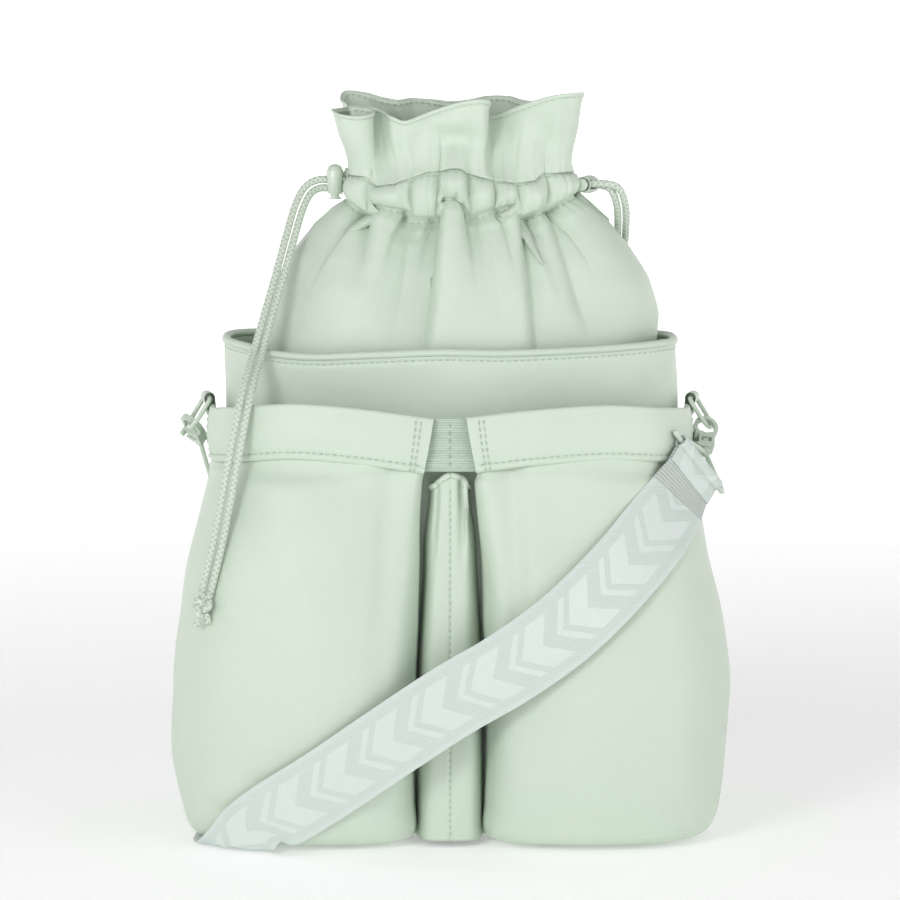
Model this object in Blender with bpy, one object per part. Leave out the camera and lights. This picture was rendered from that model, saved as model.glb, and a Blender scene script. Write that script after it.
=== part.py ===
"""Drawstring bucket bag with two bottle pockets and a snap-on webbing strap.

Metres, +Z up, front towards -Y. Sizes below are in millimetres times MM. Every
piece hangs under one empty on the plane of the side seams, so a Y of 0 in this
file is that plane. SEAM_Y puts the plane behind the middle, which centres the
whole bag on the origin, because the pockets stand out in front only.
"""

import math

import bmesh
import bpy
import numpy as np
from mathutils import Matrix, Vector

MM = 0.001
GAP = 0.4 * MM
SEAM_Y = 24.4 * MM

# Bucket body
BODY_HALF_WIDTH = 119 * MM
BODY_HALF_DEPTH = 62 * MM
BODY_SQUARENESS = 3.0
WALL = 3.0 * MM
RIM_Z = 257 * MM
RIM_DIP = 5 * MM
WALL_FOOT_Z = 4.4 * MM
PIPING_RADIUS = 2.2 * MM
BASE_HALF_WIDTH = 92 * MM
BASE_HALF_DEPTH = 52 * MM
BASE_THICK = 4.0 * MM
LINING_TOP_Z = 240 * MM
LINING_THICK = 1.2 * MM

# Gathered upper pouch, drawstring casing and ruffle: (height, half width, half depth)
NECK_X = 6 * MM
POUCH_ROWS = (
    (243 * MM, 110 * MM, 55 * MM),
    (252 * MM, 106 * MM, 52 * MM),
    (268 * MM, 101 * MM, 49.5 * MM),
    (285 * MM, 95 * MM, 46 * MM),
    (300 * MM, 87 * MM, 42 * MM),
    (314 * MM, 77 * MM, 37 * MM),
    (325.4 * MM, 64 * MM, 31 * MM),
)
POUCH_THICK = 1.6 * MM
CASING_LOW_Z = 326 * MM
CASING_HIGH_Z = 342.4 * MM
CASING_HALF_WIDTH = 56 * MM
CASING_HALF_DEPTH = 26 * MM
CASING_DEPTH = 12 * MM
CASING_WALL = 1.3 * MM
CASING_END = math.radians(12)
RUFFLE_LOW_Z = 342.8 * MM
RUFFLE_HIGH_Z = 386 * MM
RUFFLE_THICK = 1.6 * MM

# Bottle pockets: plan outlines of the right one, from its inner edge round the front to the seam
POCKET_FOOT = ((17, -64), (18, -80), (33, -95), (75, -101), (114, -92), (133, -68), (134, -38), (126, -14))
POCKET_BULGE = ((18, -64), (19.5, -84), (33, -102), (75, -108.5), (119, -98), (142, -68), (144, -36), (131, -11))
POCKET_MOUTH = ((14, -65), (14, -83), (27, -87.5), (70, -88), (105, -76), (121, -50), (125.4, -26), (124.5, -6))
POCKET_LOW_Z = 2.8 * MM
POCKET_BULGE_Z = 69 * MM
POCKET_TOP_Z = 193.6 * MM
POCKET_WALL = 2.4 * MM
BAND_OUTLINE = ((11, -87), (30, -88.5), (70, -88.5), (105, -76.5), (121, -50.5), (125.4, -32), (125.6, -20))
BAND_LOW_Z = 194 * MM
BAND_HIGH_Z = 222 * MM
BAND_THICK = 3.2 * MM
ARCH_X = (10 * MM, 45 * MM, 80 * MM, 110 * MM, 125 * MM)
ARCH_RISE = (0, 4.5 * MM, 7 * MM, 4.5 * MM, 1 * MM)

# Side tabs, D rings and snap hooks
EYE = Vector((127.5, -12, 226.0)) * MM
TAB_TURN = math.radians(12)
TAB_WIDTH = 12 * MM
RING_HANG = math.radians(32)
RING_HALF_WIDTH = 9.5 * MM
RING_SIDE = 9 * MM
RING_WIRE = 1.25 * MM
HOOK_LENGTH = 20.5 * MM
GATE_TRAVEL = 4 * MM

# Webbing strap
STRAP_WIDTH = 38 * MM
STRAP_THICK = 1.4 * MM
LOOP_WIRE = 1.3 * MM
LOOP_RIGHT = ((114.9, -71.2, 213.8), (142, -45.2, 178.6))
LOOP_LEFT = ((-126.2, 13.6, 175.2), (-110.8, 51, 207.4))
STEM_PROFILE = [(12.2, 0), (12.2, 2.3), (14.0, 2.3), (14.0, 1.4), (19.0, 1.4), (19.2, 2.6), (21.4, 2.6), (21.4, 0)]
FOLD_BORE = 1.75 * MM
FOLD_RADIUS = 3.2 * MM
FOLD_LENGTH = 7 * MM
STRAP_START = Vector((122.5, -64.5, 187)) * MM
STRAP_FINISH = Vector((-113, 37, 183)) * MM
STRAP_CLEAR = 3.7 * MM
STRAP_REAR_CLEAR = 4.4 * MM
STRAP_FRONT = ((110, 171), (88, 146), (60, 119), (31, 98), (1, 80.5), (-30, 60), (-62, 38), (-88, 21), (-104, 10))
STRAP_UNDER = (
    ((-114, -101.5, 24), (-86, -104, 7)),
    ((-123, -95, 12), (-90, -103, 2.4)),
    ((-130, -85, 3.2), (-94, -94, 1.3)),
    ((-133, -70, 1.3), (-95.5, -76, 1.3)),
    ((-132.5, -54, 1.3), (-95, -55, 1.3)),
    ((-132, -25, 1.3), (-94.5, -25, 1.3)),
    ((-131, 0, 1.3), (-94, 8, 1.3)),
    ((-123.5, 20, 1.3), (-88.5, 38, 1.3)),
    ((-117.5, 36, 2.4), (-84, 57, 2.4)),
)
STRAP_REAR = ((-100, 14, 0), (-100, 60, 0), (-100, 110, 0), (-103, 142, 12), (-108, 163, 22))
SLIDER_Z = 75 * MM

# Draw cords and their locks
CORD_RADIUS = 2.0 * MM
CORD_MID_Z = 334 * MM
CORD_CROSS = 3.5 * MM
STRAND_APART = 2.2 * MM
LOCK_FROM_EXIT = 5.4 * MM
ROUTE_LEFT = (
    (-75, -3, 334), (-79.5, -9, 325), (-84, -19, 309), (-89, -31, 290), (-94, -43, 272), (-98.5, -54.5, 255),
    (-102.5, -73, 240), (-106, -83.5, 223),
)
HANG_LEFT = ((-111, 197), (-114.5, 178), (-118.5, 158), (-124.5, 133))
ROUTE_RIGHT = (
    (86.5, -6.5, 335), (90, -1, 327), (91, 8, 316), (90.5, 19.5, 303), (88, 33, 289), (85, 47, 273), (82.5, 60.5, 257),
    (81.5, 61.5, 235), (81, 60.5, 205), (80.5, 60.5, 180), (80, 61, 160),
)
KNOT_LEFT = (-126.5, 126)
KNOT_RIGHT = (80, 63.5, 152)
CORD_CLEAR = 8.0 * MM
KNOT_CLEAR = 9.6 * MM

MINT = (0.60, 0.72, 0.59, 1)
MINT_LINING = (0.52, 0.64, 0.52, 1)
PALE_WEBBING = (0.62, 0.70, 0.65, 1)
STEEL = (0.55, 0.56, 0.55, 1)


def clear_scene():
    for obj in list(bpy.data.objects):
        bpy.data.objects.remove(obj)


def make_material(name, colour, roughness, metallic=0.0):
    material = bpy.data.materials.new(name)
    material.use_nodes = True
    shader = material.node_tree.nodes["Principled BSDF"]
    shader.inputs["Base Color"].default_value = colour
    shader.inputs["Roughness"].default_value = roughness
    shader.inputs["Metallic"].default_value = metallic
    return material


def make_object(name, points, faces, colour, roughness=0.5, metallic=0.0, origin=(0, 0, 0)):
    """A closed mesh object under the bag's empty, with its own material and its origin where asked."""
    mesh = bpy.data.meshes.new(name)
    shift = np.array(origin, float)
    mesh.from_pydata([tuple(np.array(p, float) - shift) for p in points], [], faces)
    work = bmesh.new()
    work.from_mesh(mesh)
    bmesh.ops.recalc_face_normals(work, faces=work.faces)
    if work.calc_volume(signed=True) < 0:
        bmesh.ops.reverse_faces(work, faces=work.faces)
    work.to_mesh(mesh)
    work.free()
    mesh.shade_smooth()
    mesh.set_sharp_from_angle(angle=math.radians(40))
    obj = bpy.data.objects.new(name, mesh)
    bpy.context.scene.collection.objects.link(obj)
    obj.location = origin
    obj.parent = bag
    mesh.materials.append(make_material(name, colour, roughness, metallic))
    return obj


def grid_faces(rows, columns, closed, start=0):
    wrap = columns if closed else columns - 1
    return [
        (
            start + r * columns + c,
            start + r * columns + (c + 1) % columns,
            start + (r + 1) * columns + (c + 1) % columns,
            start + (r + 1) * columns + c,
        )
        for r in range(rows - 1)
        for c in range(wrap)
    ]


def sheet_solid(name, outer, inner, colour, roughness=0.5):
    """A thick sheet between two grids of points, (rows, columns, 3), open at all four sides."""
    rows, columns = outer.shape[:2]
    size = rows * columns
    points = np.concatenate([outer.reshape(-1, 3), inner.reshape(-1, 3)])
    faces = grid_faces(rows, columns, False) + grid_faces(rows, columns, False, size)
    border = [c for c in range(columns)]
    border += [r * columns + columns - 1 for r in range(1, rows)]
    border += [(rows - 1) * columns + c for c in range(columns - 2, -1, -1)]
    border += [r * columns for r in range(rows - 2, 0, -1)]
    for a, b in zip(border, border[1:] + border[:1]):
        faces.append((a, b, b + size, a + size))
    return make_object(name, points, faces, colour, roughness)


def cup_solid(name, outer_rows, inner_rows, colour, roughness=0.5):
    """A closed-loop wall with a floor and an open top. Rows run from the floor up."""
    columns = len(outer_rows[0])
    rows_out, rows_in = len(outer_rows), len(inner_rows)
    points = np.concatenate([np.concatenate(outer_rows), np.concatenate(inner_rows)])
    size = rows_out * columns
    faces = grid_faces(rows_out, columns, True) + grid_faces(rows_in, columns, True, size)
    faces.append(tuple(range(columns)))
    faces.append(tuple(size + c for c in range(columns)))
    top_out, top_in = size - columns, size + (rows_in - 1) * columns
    for c in range(columns):
        d = (c + 1) % columns
        faces.append((top_out + c, top_out + d, top_in + d, top_in + c))
    return make_object(name, points, faces, colour, roughness)


def tube_sweep_solid(name, outer_sections, inner_sections, colour):
    """A hollow bent tube: the ends are open, and each end is closed by a ring of faces."""
    columns = len(outer_sections[0])
    rows = len(outer_sections)
    points = np.concatenate([np.concatenate(outer_sections), np.concatenate(inner_sections)])
    size = rows * columns
    faces = grid_faces(rows, columns, True) + grid_faces(rows, columns, True, size)
    for row in (0, rows - 1):
        for c in range(columns):
            a, b = row * columns + c, row * columns + (c + 1) % columns
            faces.append((a, b, b + size, a + size))
    return make_object(name, points, faces, colour)


def smooth_path(points, per_span, closed=False):
    """A Catmull-Rom curve through the points."""
    p = np.array(points, float)
    count = len(p)
    spans = count if closed else count - 1
    found = []
    for i in range(spans):
        if closed:
            a, b, c, d = (p[(i + k) % count] for k in (-1, 0, 1, 2))
        else:
            b, c = p[i], p[i + 1]
            a = p[i - 1] if i else 2 * b - c
            d = p[i + 2] if i + 2 < count else 2 * c - b
        for step in range(per_span):
            t = step / per_span
            found.append(
                0.5 * (2 * b + (c - a) * t + (2 * a - 5 * b + 4 * c - d) * t * t + (3 * b - a - 3 * c + d) * t**3)
            )
    if not closed:
        found.append(p[-1])
    return np.array(found)


def oval(half_width, half_depth, angle, squareness=2.0, centre_x=0.0):
    c, s = math.cos(angle), math.sin(angle)
    power = 2 / squareness
    x = half_width * math.copysign(abs(c) ** power, c)
    y = half_depth * math.copysign(abs(s) ** power, s)
    return centre_x + x, y


def rim_height(angle):
    return RIM_Z - RIM_DIP * math.sin(angle) ** 2


def half_angles(front, count, trim=0.0):
    start = math.pi if front else 0.0
    return [start + trim + (math.pi - 2 * trim) * i / (count - 1) for i in range(count)]


def build_bucket():
    trim = 0.004
    for name, front in (("bucket_front_panel", True), ("bucket_back_panel", False)):
        outer, inner = [], []
        for level in (0.0, 0.02, 0.5, 1.0):
            row_out, row_in = [], []
            for angle in half_angles(front, 21, trim):
                top = rim_height(angle) - PIPING_RADIUS - GAP
                z = WALL_FOOT_Z + (top - WALL_FOOT_Z) * level
                tuck = 2.5 * MM if level == 0.0 else 0.0
                row_out.append((*oval(BODY_HALF_WIDTH - tuck, BODY_HALF_DEPTH - tuck, angle, BODY_SQUARENESS), z))
                row_in.append((*oval(BODY_HALF_WIDTH - WALL, BODY_HALF_DEPTH - WALL, angle, BODY_SQUARENESS), z))
            outer.append(row_out)
            inner.append(row_in)
        sheet_solid(name, np.array(outer), np.array(inner), MINT)


def build_base_and_lining():
    angles = [2 * math.pi * i / 32 for i in range(32)]

    def loop(shrink, z, width, depth):
        return np.array([(*oval(width - shrink, depth - shrink, a, BODY_SQUARENESS), z) for a in angles])

    rows = [
        loop(1.5 * MM, 0, BASE_HALF_WIDTH, BASE_HALF_DEPTH),
        loop(0, 1.5 * MM, BASE_HALF_WIDTH, BASE_HALF_DEPTH),
        loop(0, BASE_THICK, BASE_HALF_WIDTH, BASE_HALF_DEPTH),
    ]
    points = np.concatenate(rows)
    faces = grid_faces(3, 32, True) + [tuple(range(32)), tuple(range(64, 96))]
    make_object("base_panel", points, faces, MINT)

    width = BODY_HALF_WIDTH - WALL - GAP
    depth = BODY_HALF_DEPTH - WALL - GAP
    floor = WALL_FOOT_Z + 0.6 * MM
    outer = [loop(4 * MM, floor, width, depth), loop(0, floor + 4 * MM, width, depth), loop(0, LINING_TOP_Z, width, depth)]
    inner = [
        loop(4 * MM + LINING_THICK, floor + LINING_THICK, width, depth),
        loop(LINING_THICK, floor + 4 * MM + LINING_THICK, width, depth),
        loop(LINING_THICK, LINING_TOP_Z, width, depth),
    ]
    cup_solid("lining", outer, inner, MINT_LINING, 0.7)


def make_tube(name, path, radius, colour, closed=False, sides=2, origin=(0, 0, 0), roughness=0.5):
    """A round tube along a path, as a curve object with filled caps."""
    curve = bpy.data.curves.new(name, "CURVE")
    curve.dimensions = "3D"
    curve.bevel_depth = radius
    curve.bevel_resolution = sides
    curve.use_fill_caps = not closed
    spline = curve.splines.new("POLY")
    spline.points.add(len(path) - 1)
    for point, place in zip(spline.points, path):
        point.co = (*(Vector(place) - Vector(origin)), 1.0)
    spline.use_cyclic_u = closed
    obj = bpy.data.objects.new(name, curve)
    bpy.context.scene.collection.objects.link(obj)
    obj.location = origin
    obj.parent = bag
    curve.materials.append(make_material(name, colour, roughness))
    return obj


def build_rim_piping():
    path = []
    inset = WALL / 2
    for i in range(44):
        angle = 2 * math.pi * i / 44
        x, y = oval(BODY_HALF_WIDTH - inset, BODY_HALF_DEPTH - inset, angle, BODY_SQUARENESS)
        path.append((x, y, rim_height(angle)))
    make_tube("rim_piping", path, PIPING_RADIUS, MINT, closed=True)


def build_pouch():
    for name, front in (("pouch_front_panel", True), ("pouch_back_panel", False)):
        outer, inner = [], []
        for z, width, depth in POUCH_ROWS:
            angles = half_angles(front, 17, 0.006)
            outer.append([(*oval(width, depth, a, 2.3, NECK_X * min(1, (z - 243 * MM) / (25 * MM))), z) for a in angles])
            inner.append(
                [
                    (*oval(width - POUCH_THICK, depth - POUCH_THICK, a, 2.3, NECK_X * min(1, (z - 243 * MM) / (25 * MM))), z)
                    for a in angles
                ]
            )
        sheet_solid(name, np.array(outer), np.array(inner), MINT)


def casing_section(angle, depth, low, high):
    """A rounded slot section of the casing at one place round the neck."""
    x, y = oval(CASING_HALF_WIDTH, CASING_HALF_DEPTH, angle, 2.0, NECK_X)
    out = Vector((math.cos(angle) * CASING_HALF_DEPTH, math.sin(angle) * CASING_HALF_WIDTH, 0)).normalized()
    middle, half = (low + high) / 2, (high - low) / 2
    corner = min(depth / 2, 3.5 * MM)
    found = []
    for side, lift in ((1, -1), (1, 1), (-1, 1), (-1, -1)):
        for turn in (0.85, 0.15) if lift * side < 0 else (0.15, 0.85):
            bend = turn * math.pi / 2
            off = side * (depth / 2 - corner + corner * math.cos(bend))
            z = middle + lift * (half - corner + corner * math.sin(bend))
            found.append((x + out.x * off, y + out.y * off, z))
    return found


def build_casing():
    for name, front in (("casing_front", True), ("casing_back", False)):
        outer, inner = [], []
        for angle in half_angles(front, 17, CASING_END):
            outer.append(casing_section(angle, CASING_DEPTH, CASING_LOW_Z, CASING_HIGH_Z))
            inner.append(
                casing_section(
                    angle, CASING_DEPTH - 2 * CASING_WALL, CASING_LOW_Z + CASING_WALL, CASING_HIGH_Z - CASING_WALL
                )
            )
        tube_sweep_solid(name, np.array(outer), np.array(inner), MINT)


def build_ruffle():
    for name, front in (("ruffle_front", True), ("ruffle_back", False)):
        outer, inner = [], []
        for level in (0.0, 0.35, 0.7, 1.0):
            z = RUFFLE_LOW_Z + (RUFFLE_HIGH_Z - RUFFLE_LOW_Z) * level
            row_out, row_in = [], []
            for angle in half_angles(front, 27, 0.01):
                wave = (1.2 + 3.6 * level) * MM * math.sin(8 * angle)
                width = (54 + 8 * level) * MM + wave
                depth = (22 + 8 * level) * MM + wave
                row_out.append((*oval(width, depth, angle, 2.2, NECK_X - 2 * MM), z))
                row_in.append((*oval(width - RUFFLE_THICK, depth - RUFFLE_THICK, angle, 2.2, NECK_X - 2 * MM), z))
            outer.append(row_out)
            inner.append(row_in)
        sheet_solid(name, np.array(outer), np.array(inner), MINT)


def pocket_outline(z):
    """Plan of the right pocket's outside at a height: a closed loop, back along the bucket."""
    if z >= POCKET_BULGE_Z:
        share = math.sin(math.pi / 2 * (POCKET_TOP_Z - z) / (POCKET_TOP_Z - POCKET_BULGE_Z))
        low, high = np.array(POCKET_MOUTH), np.array(POCKET_BULGE)
    else:
        share = 1 - (1 - max(z - POCKET_LOW_Z, 0) / (POCKET_BULGE_Z - POCKET_LOW_Z)) ** 3
        low, high = np.array(POCKET_FOOT), np.array(POCKET_BULGE)
    knots = (low + (high - low) * share) * MM
    front = smooth_path(knots, 4)
    back = []
    for angle in np.linspace(math.radians(-1), math.radians(-82), 9):
        x, y = oval(BODY_HALF_WIDTH + 0.7 * MM, BODY_HALF_DEPTH + 0.7 * MM, angle, BODY_SQUARENESS)
        if x > front[0][0] + 1 * MM:
            back.append((x, y))
    return np.concatenate([front, np.array(back)])


def inset_loop(loop, distance):
    """The loop moved inwards along its corners' bisectors. The loop runs clockwise or not."""
    ahead, behind = np.roll(loop, -1, axis=0), np.roll(loop, 1, axis=0)
    along = ahead - behind
    along /= np.linalg.norm(along, axis=1)[:, None]
    normal = np.stack([-along[:, 1], along[:, 0]], axis=1)
    area = np.sum(loop[:, 0] * ahead[:, 1] - ahead[:, 0] * loop[:, 1])
    return loop + normal * distance * (1 if area > 0 else -1)


def arch(x):
    """How far the pockets' top edge stands above its height at the middle of the bag."""
    return float(np.interp(abs(x), ARCH_X, ARCH_RISE))


def build_pockets():
    levels = [POCKET_LOW_Z, POCKET_LOW_Z + 1.6 * MM, POCKET_LOW_Z + 5 * MM, POCKET_LOW_Z + 11 * MM]
    levels += [30 * MM, POCKET_BULGE_Z, 100 * MM, 130 * MM, 155 * MM, 177 * MM, POCKET_TOP_Z]
    tucks = [6 * MM, 2.6 * MM, 0.6 * MM] + [0] * 8
    for name, side in (("pocket_left", -1), ("pocket_right", 1)):
        outer, inner = [], []
        for z, tuck in zip(levels, tucks):
            loop = inset_loop(pocket_outline(z), tuck)
            lift = max(z - 100 * MM, 0) / (POCKET_TOP_Z - 100 * MM)
            outer.append(np.array([(side * x, y, z + lift * arch(x)) for x, y in loop]))
            if z == levels[0]:
                continue
            loop = inset_loop(pocket_outline(z), tuck + POCKET_WALL)
            height = max(z, POCKET_LOW_Z + POCKET_WALL + 0.8 * (z - levels[1]))
            if z >= 30 * MM:
                height = z
            inner.append(np.array([(side * x, y, height + lift * arch(x)) for x, y in loop]))
        cup_solid(name, outer, inner, MINT)


def build_bands():
    outline = smooth_path(np.array(BAND_OUTLINE) * MM, 4)
    along = np.gradient(outline, axis=0)
    along /= np.linalg.norm(along, axis=1)[:, None]
    inward = np.stack([-along[:, 1], along[:, 0]], axis=1)
    for name, side in (("pocket_band_left", -1), ("pocket_band_right", 1)):
        outer, inner = [], []
        for z, ease in ((BAND_LOW_Z, 0.6), (BAND_LOW_Z + 3 * MM, 0), (BAND_HIGH_Z - 3 * MM, 0), (BAND_HIGH_Z, 0.7)):
            lean = 2.0 * MM * (BAND_HIGH_Z - z) / (BAND_HIGH_Z - BAND_LOW_Z)
            cut = np.linspace(1, 0, len(outline))[:, None] ** 6 * np.array([lean, 0])
            edge = outline + inward * ease * MM + cut
            back = outline + inward * (BAND_THICK - ease * MM) + cut
            outer.append([(side * x, y, z + arch(x)) for x, y in edge])
            inner.append([(side * x, y, z + arch(x)) for x, y in back])
        sheet_solid(name, np.array(outer), np.array(inner), MINT)


def build_elastic_and_pleat():
    low, high = 195.5 * MM, 220.5 * MM
    front_y, back_y = -83.2 * MM, -81.6 * MM
    rows = []
    for z, half in ((low, 21 * MM), (high, 18 * MM)):
        rows.append([(-half, front_y, z), (half, front_y, z), (half, back_y, z), (-half, back_y, z)])
    points = np.concatenate(rows)
    faces = grid_faces(2, 4, True) + [(0, 1, 2, 3), (4, 5, 6, 7)]
    make_object("pocket_elastic", points, faces, PALE_WEBBING, 0.8)

    outer, inner = [], []
    for z, half, depth in ((3 * MM, 16 * MM, 12 * MM), (60 * MM, 16.4 * MM, 15 * MM), (188 * MM, 9 * MM, 14 * MM)):
        arc = [math.pi * i / 10 for i in range(11)]
        base = -BODY_HALF_DEPTH - 1.0 * MM
        outer.append([(-half * math.cos(a), base - depth * math.sin(a), z) for a in arc])
        inner.append([(-(half - 2 * MM) * math.cos(a), base - (depth - 2 * MM) * math.sin(a), z) for a in arc])
    sheet_solid("centre_pleat", np.array(outer), np.array(inner), MINT)


def side_frame(side):
    """Ring hinge axis, and the direction in which the ring hangs, for one side of the bag."""
    axis = Vector((side * math.sin(TAB_TURN), math.cos(TAB_TURN), 0))
    outward = Vector((side * math.cos(TAB_TURN), -math.sin(TAB_TURN), 0))
    hang = outward * math.sin(RING_HANG) - Vector((0, 0, 1)) * math.cos(RING_HANG)
    eye = Vector((side * EYE.x, EYE.y, EYE.z))
    return eye, axis, outward, hang


def build_tab(side, word):
    """A leather tab from inside the pocket mouth up to an eye round the ring's straight bar."""
    eye, axis, outward, _ = side_frame(side)
    foot = Vector((side * 121.0, EYE.y / MM, 196)) * MM
    up = (eye - foot).normalized()
    out = (outward - up * outward.dot(up)).normalized()
    half = 1.4 * MM
    ring, bore = 3.3 * MM, 1.7 * MM
    start = math.asin(half / ring)
    turns = [start + (2 * math.pi - 2 * start) * i / 14 for i in range(15)]
    profile = [foot - out * half]
    profile += [eye - up * ring * math.cos(t) - out * ring * math.sin(t) for t in turns]
    profile.append(foot + out * half)
    hole = [eye + up * bore * math.cos(2 * math.pi * i / 12) + out * bore * math.sin(2 * math.pi * i / 12) for i in range(12)]
    tab = extruded(f"ring_tab_{word}", profile, axis, TAB_WIDTH, MINT)
    cut(tab, extruded(f"cut_tab_{word}", hole, axis, TAB_WIDTH * 2, MINT))


def extruded(name, profile, axis, width, colour, origin=(0, 0, 0), roughness=0.5):
    count = len(profile)
    points = [p - axis * width / 2 for p in profile] + [p + axis * width / 2 for p in profile]
    faces = [tuple(range(count)), tuple(range(count, 2 * count))]
    faces += [(i, (i + 1) % count, (i + 1) % count + count, i + count) for i in range(count)]
    return make_object(name, points, faces, colour, roughness, origin=origin)


def combine(obj, other, operation):
    modifier = obj.modifiers.new(other.name, "BOOLEAN")
    modifier.operation = operation
    modifier.solver = "EXACT"
    modifier.object = other
    other.hide_render = True
    other.display_type = "WIRE"


def cut(obj, cutter):
    combine(obj, cutter, "DIFFERENCE")


def ring_path(side):
    eye, axis, _, hang = side_frame(side)
    corner = 2.4 * MM
    wide = RING_HALF_WIDTH
    path = [eye - axis * (wide - corner), eye + axis * (wide - corner)]
    path += [eye + axis * (wide - corner * 0.3) + hang * corner * 0.3, eye + axis * wide + hang * corner]
    for i in range(11):
        turn = math.pi * i / 10
        path.append(eye + axis * wide * math.cos(turn) + hang * (RING_SIDE + wide * math.sin(turn)))
    path += [eye - axis * wide + hang * corner, eye - axis * (wide - corner * 0.3) + hang * corner * 0.3]
    return path


def hook_frame(side):
    """Where the hook holds the ring's wire, and the hook's own directions: across, normal, down."""
    eye, axis, _, hang = side_frame(side)
    end = -1 if side > 0 else 1
    diagonal = math.sqrt(0.5)
    held = eye + axis * end * RING_HALF_WIDTH * diagonal + hang * (RING_SIDE + RING_HALF_WIDTH * diagonal)
    wire = (hang - axis * end) * diagonal
    if side > 0:
        down = Vector((-1.2, -15.7, -13.7)).normalized()
        turn = math.radians(-40)
    else:
        down = Vector((4.5, 19.0, -13.7)).normalized()
        turn = math.radians(25)
    normal = (wire - down * wire.dot(down)).normalized()
    normal = Matrix.Rotation(turn, 3, down) @ normal
    if normal.x * side < 0:
        normal = -normal
    across = normal.cross(down)
    return held, across, normal, down


def build_hook(side, word):
    held, across, normal, down = hook_frame(side)

    def plate(name, outline, low, high, colour=MINT):
        profile = [held + across * u * MM + down * v * MM for u, v in outline]
        middle = normal * (low + high) / 2 * MM
        return extruded(name, [p + middle for p in profile], normal, (high - low) * MM, colour, roughness=0.35)

    def ellipse(width, height, centre, count=20):
        return [
            (width * math.cos(2 * math.pi * i / count), centre + height * math.sin(2 * math.pi * i / count))
            for i in range(count)
        ]

    body = plate(f"hook_body_{word}", [(-6.6, 9.2), (-5, 8), (4.4, 8), (4.4, 17.6), (3.6, 18.6), (-3.6, 18.6), (-6.6, 15.5)], -3, 3)
    combine(body, plate(f"join_bow_{word}", ellipse(6.6, 7.6, 3.2), -1.5, 1.5), "UNION")
    cut(body, plate(f"cut_bow_{word}", ellipse(4.5, 5.7, 3.1), -5, 5))
    cut(body, plate(f"cut_mouth_{word}", [(-9, 0.4), (-2, 0.4), (-2, 6.5), (-9, 6.5)], -5, 5))
    cut(body, plate(f"cut_channel_{word}", [(-6.9, 6), (-4.0, 6), (-4.0, 16.6), (-5.2, 16.6), (-6.9, 14.0)], -1.4, 1.4))
    cut(body, plate(f"cut_knob_slot_{word}", [(-9, 8.6), (-4.0, 8.6), (-4.0, 16.4), (-9, 16.4)], 0, 5))
    cut(body, plate(f"cut_head_room_{word}", [(-2.7, 11.6), (2.7, 11.6), (2.7, 14.8), (-2.7, 14.8)], -5, 5))
    round_hole = [
        held + down * 10 * MM + across * 1.8 * MM * math.cos(2 * math.pi * i / 14) + normal * 1.8 * MM * math.sin(2 * math.pi * i / 14)
        for i in range(14)
    ]
    bore = [p + down * 6 * MM for p in round_hole]
    cut(body, extruded(f"cut_bore_{word}", bore, down, 10 * MM, MINT))

    knob_origin = held - across * 5.4 * MM + down * 10 * MM
    gate = plate(f"gate_bar_{word}", [(-6.3, 0.6), (-4.4, 0.6), (-4.4, 12.2), (-5.4, 12.2), (-6.3, 10.6)], -1.1, 1.1)
    combine(gate, plate(f"join_knob_{word}", [(-6.3, 9.0), (-4.4, 9.0), (-4.4, 11.8), (-6.3, 11.8)], 0.4, 5.2), "UNION")
    gate.name = f"hook_gate_{word}"
    move_origin(gate, knob_origin)
    move_origin(body, held)


def move_origin(obj, place):
    """Puts the object's origin at a place of its joint and leaves its mesh where it is."""
    place = Vector(place)
    obj.data.transform(Matrix.Translation(obj.location - place))
    obj.location = place


def turned(name, base, axis, profile, colour, count=14, origin=None):
    """A solid of revolution. The profile is (distance along the axis, radius), and a radius of 0 is a pole."""
    across = axis.orthogonal().normalized()
    other = axis.cross(across)
    points, rings = [], []
    for along, radius in profile:
        centre = base + axis * along * MM
        if radius == 0:
            rings.append([len(points)])
            points.append(centre)
            continue
        rings.append(list(range(len(points), len(points) + count)))
        for i in range(count):
            angle = 2 * math.pi * i / count
            points.append(centre + (across * math.cos(angle) + other * math.sin(angle)) * radius * MM)
    faces = []
    for a, b in zip(rings, rings[1:]):
        for i in range(count):
            j = (i + 1) % count
            corners = [a[i % len(a)], a[j % len(a)], b[j % len(b)], b[i % len(b)]]
            faces.append(tuple(dict.fromkeys(corners)))
    for ring in (rings[0], rings[-1]):
        if len(ring) > 1:
            faces.append(tuple(ring))
    return make_object(name, points, faces, colour, 0.35, origin=base if origin is None else origin)


def loop_corners(side):
    """Corners of the strap loop: one at the swivel post and two beside the webbing."""
    held, _, _, down = hook_frame(side)
    post = held + down * HOOK_LENGTH
    first, second = (Vector(corner) * MM for corner in (LOOP_RIGHT if side > 0 else LOOP_LEFT))
    return post, first, second


def build_strap_loop(side, word):
    held, _, _, down = hook_frame(side)
    post, first, second = loop_corners(side)

    def bent(corner, before, after, reach):
        ahead, behind = (after - corner).normalized(), (before - corner).normalized()
        return [corner + behind * reach, corner + (behind + ahead) * reach * 0.3, corner + ahead * reach]

    reach = 2.2 * MM
    path = bent(post, second, first, reach) + bent(first, post, second, reach) + bent(second, first, post, reach)
    wire = make_tube(f"strap_loop_{word}", path, LOOP_WIRE, MINT, closed=True, origin=held, roughness=0.35)
    mesh = bpy.data.meshes.new_from_object(wire.evaluated_get(bpy.context.evaluated_depsgraph_get()))
    bpy.data.objects.remove(wire)
    loop = bpy.data.objects.new(f"strap_loop_{word}", mesh)
    bpy.context.scene.collection.objects.link(loop)
    loop.parent = bag
    loop.location = held
    stem = turned(f"join_post_{word}", held, down, STEM_PROFILE, MINT)
    combine(loop, stem, "UNION")
    return first, second


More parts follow.
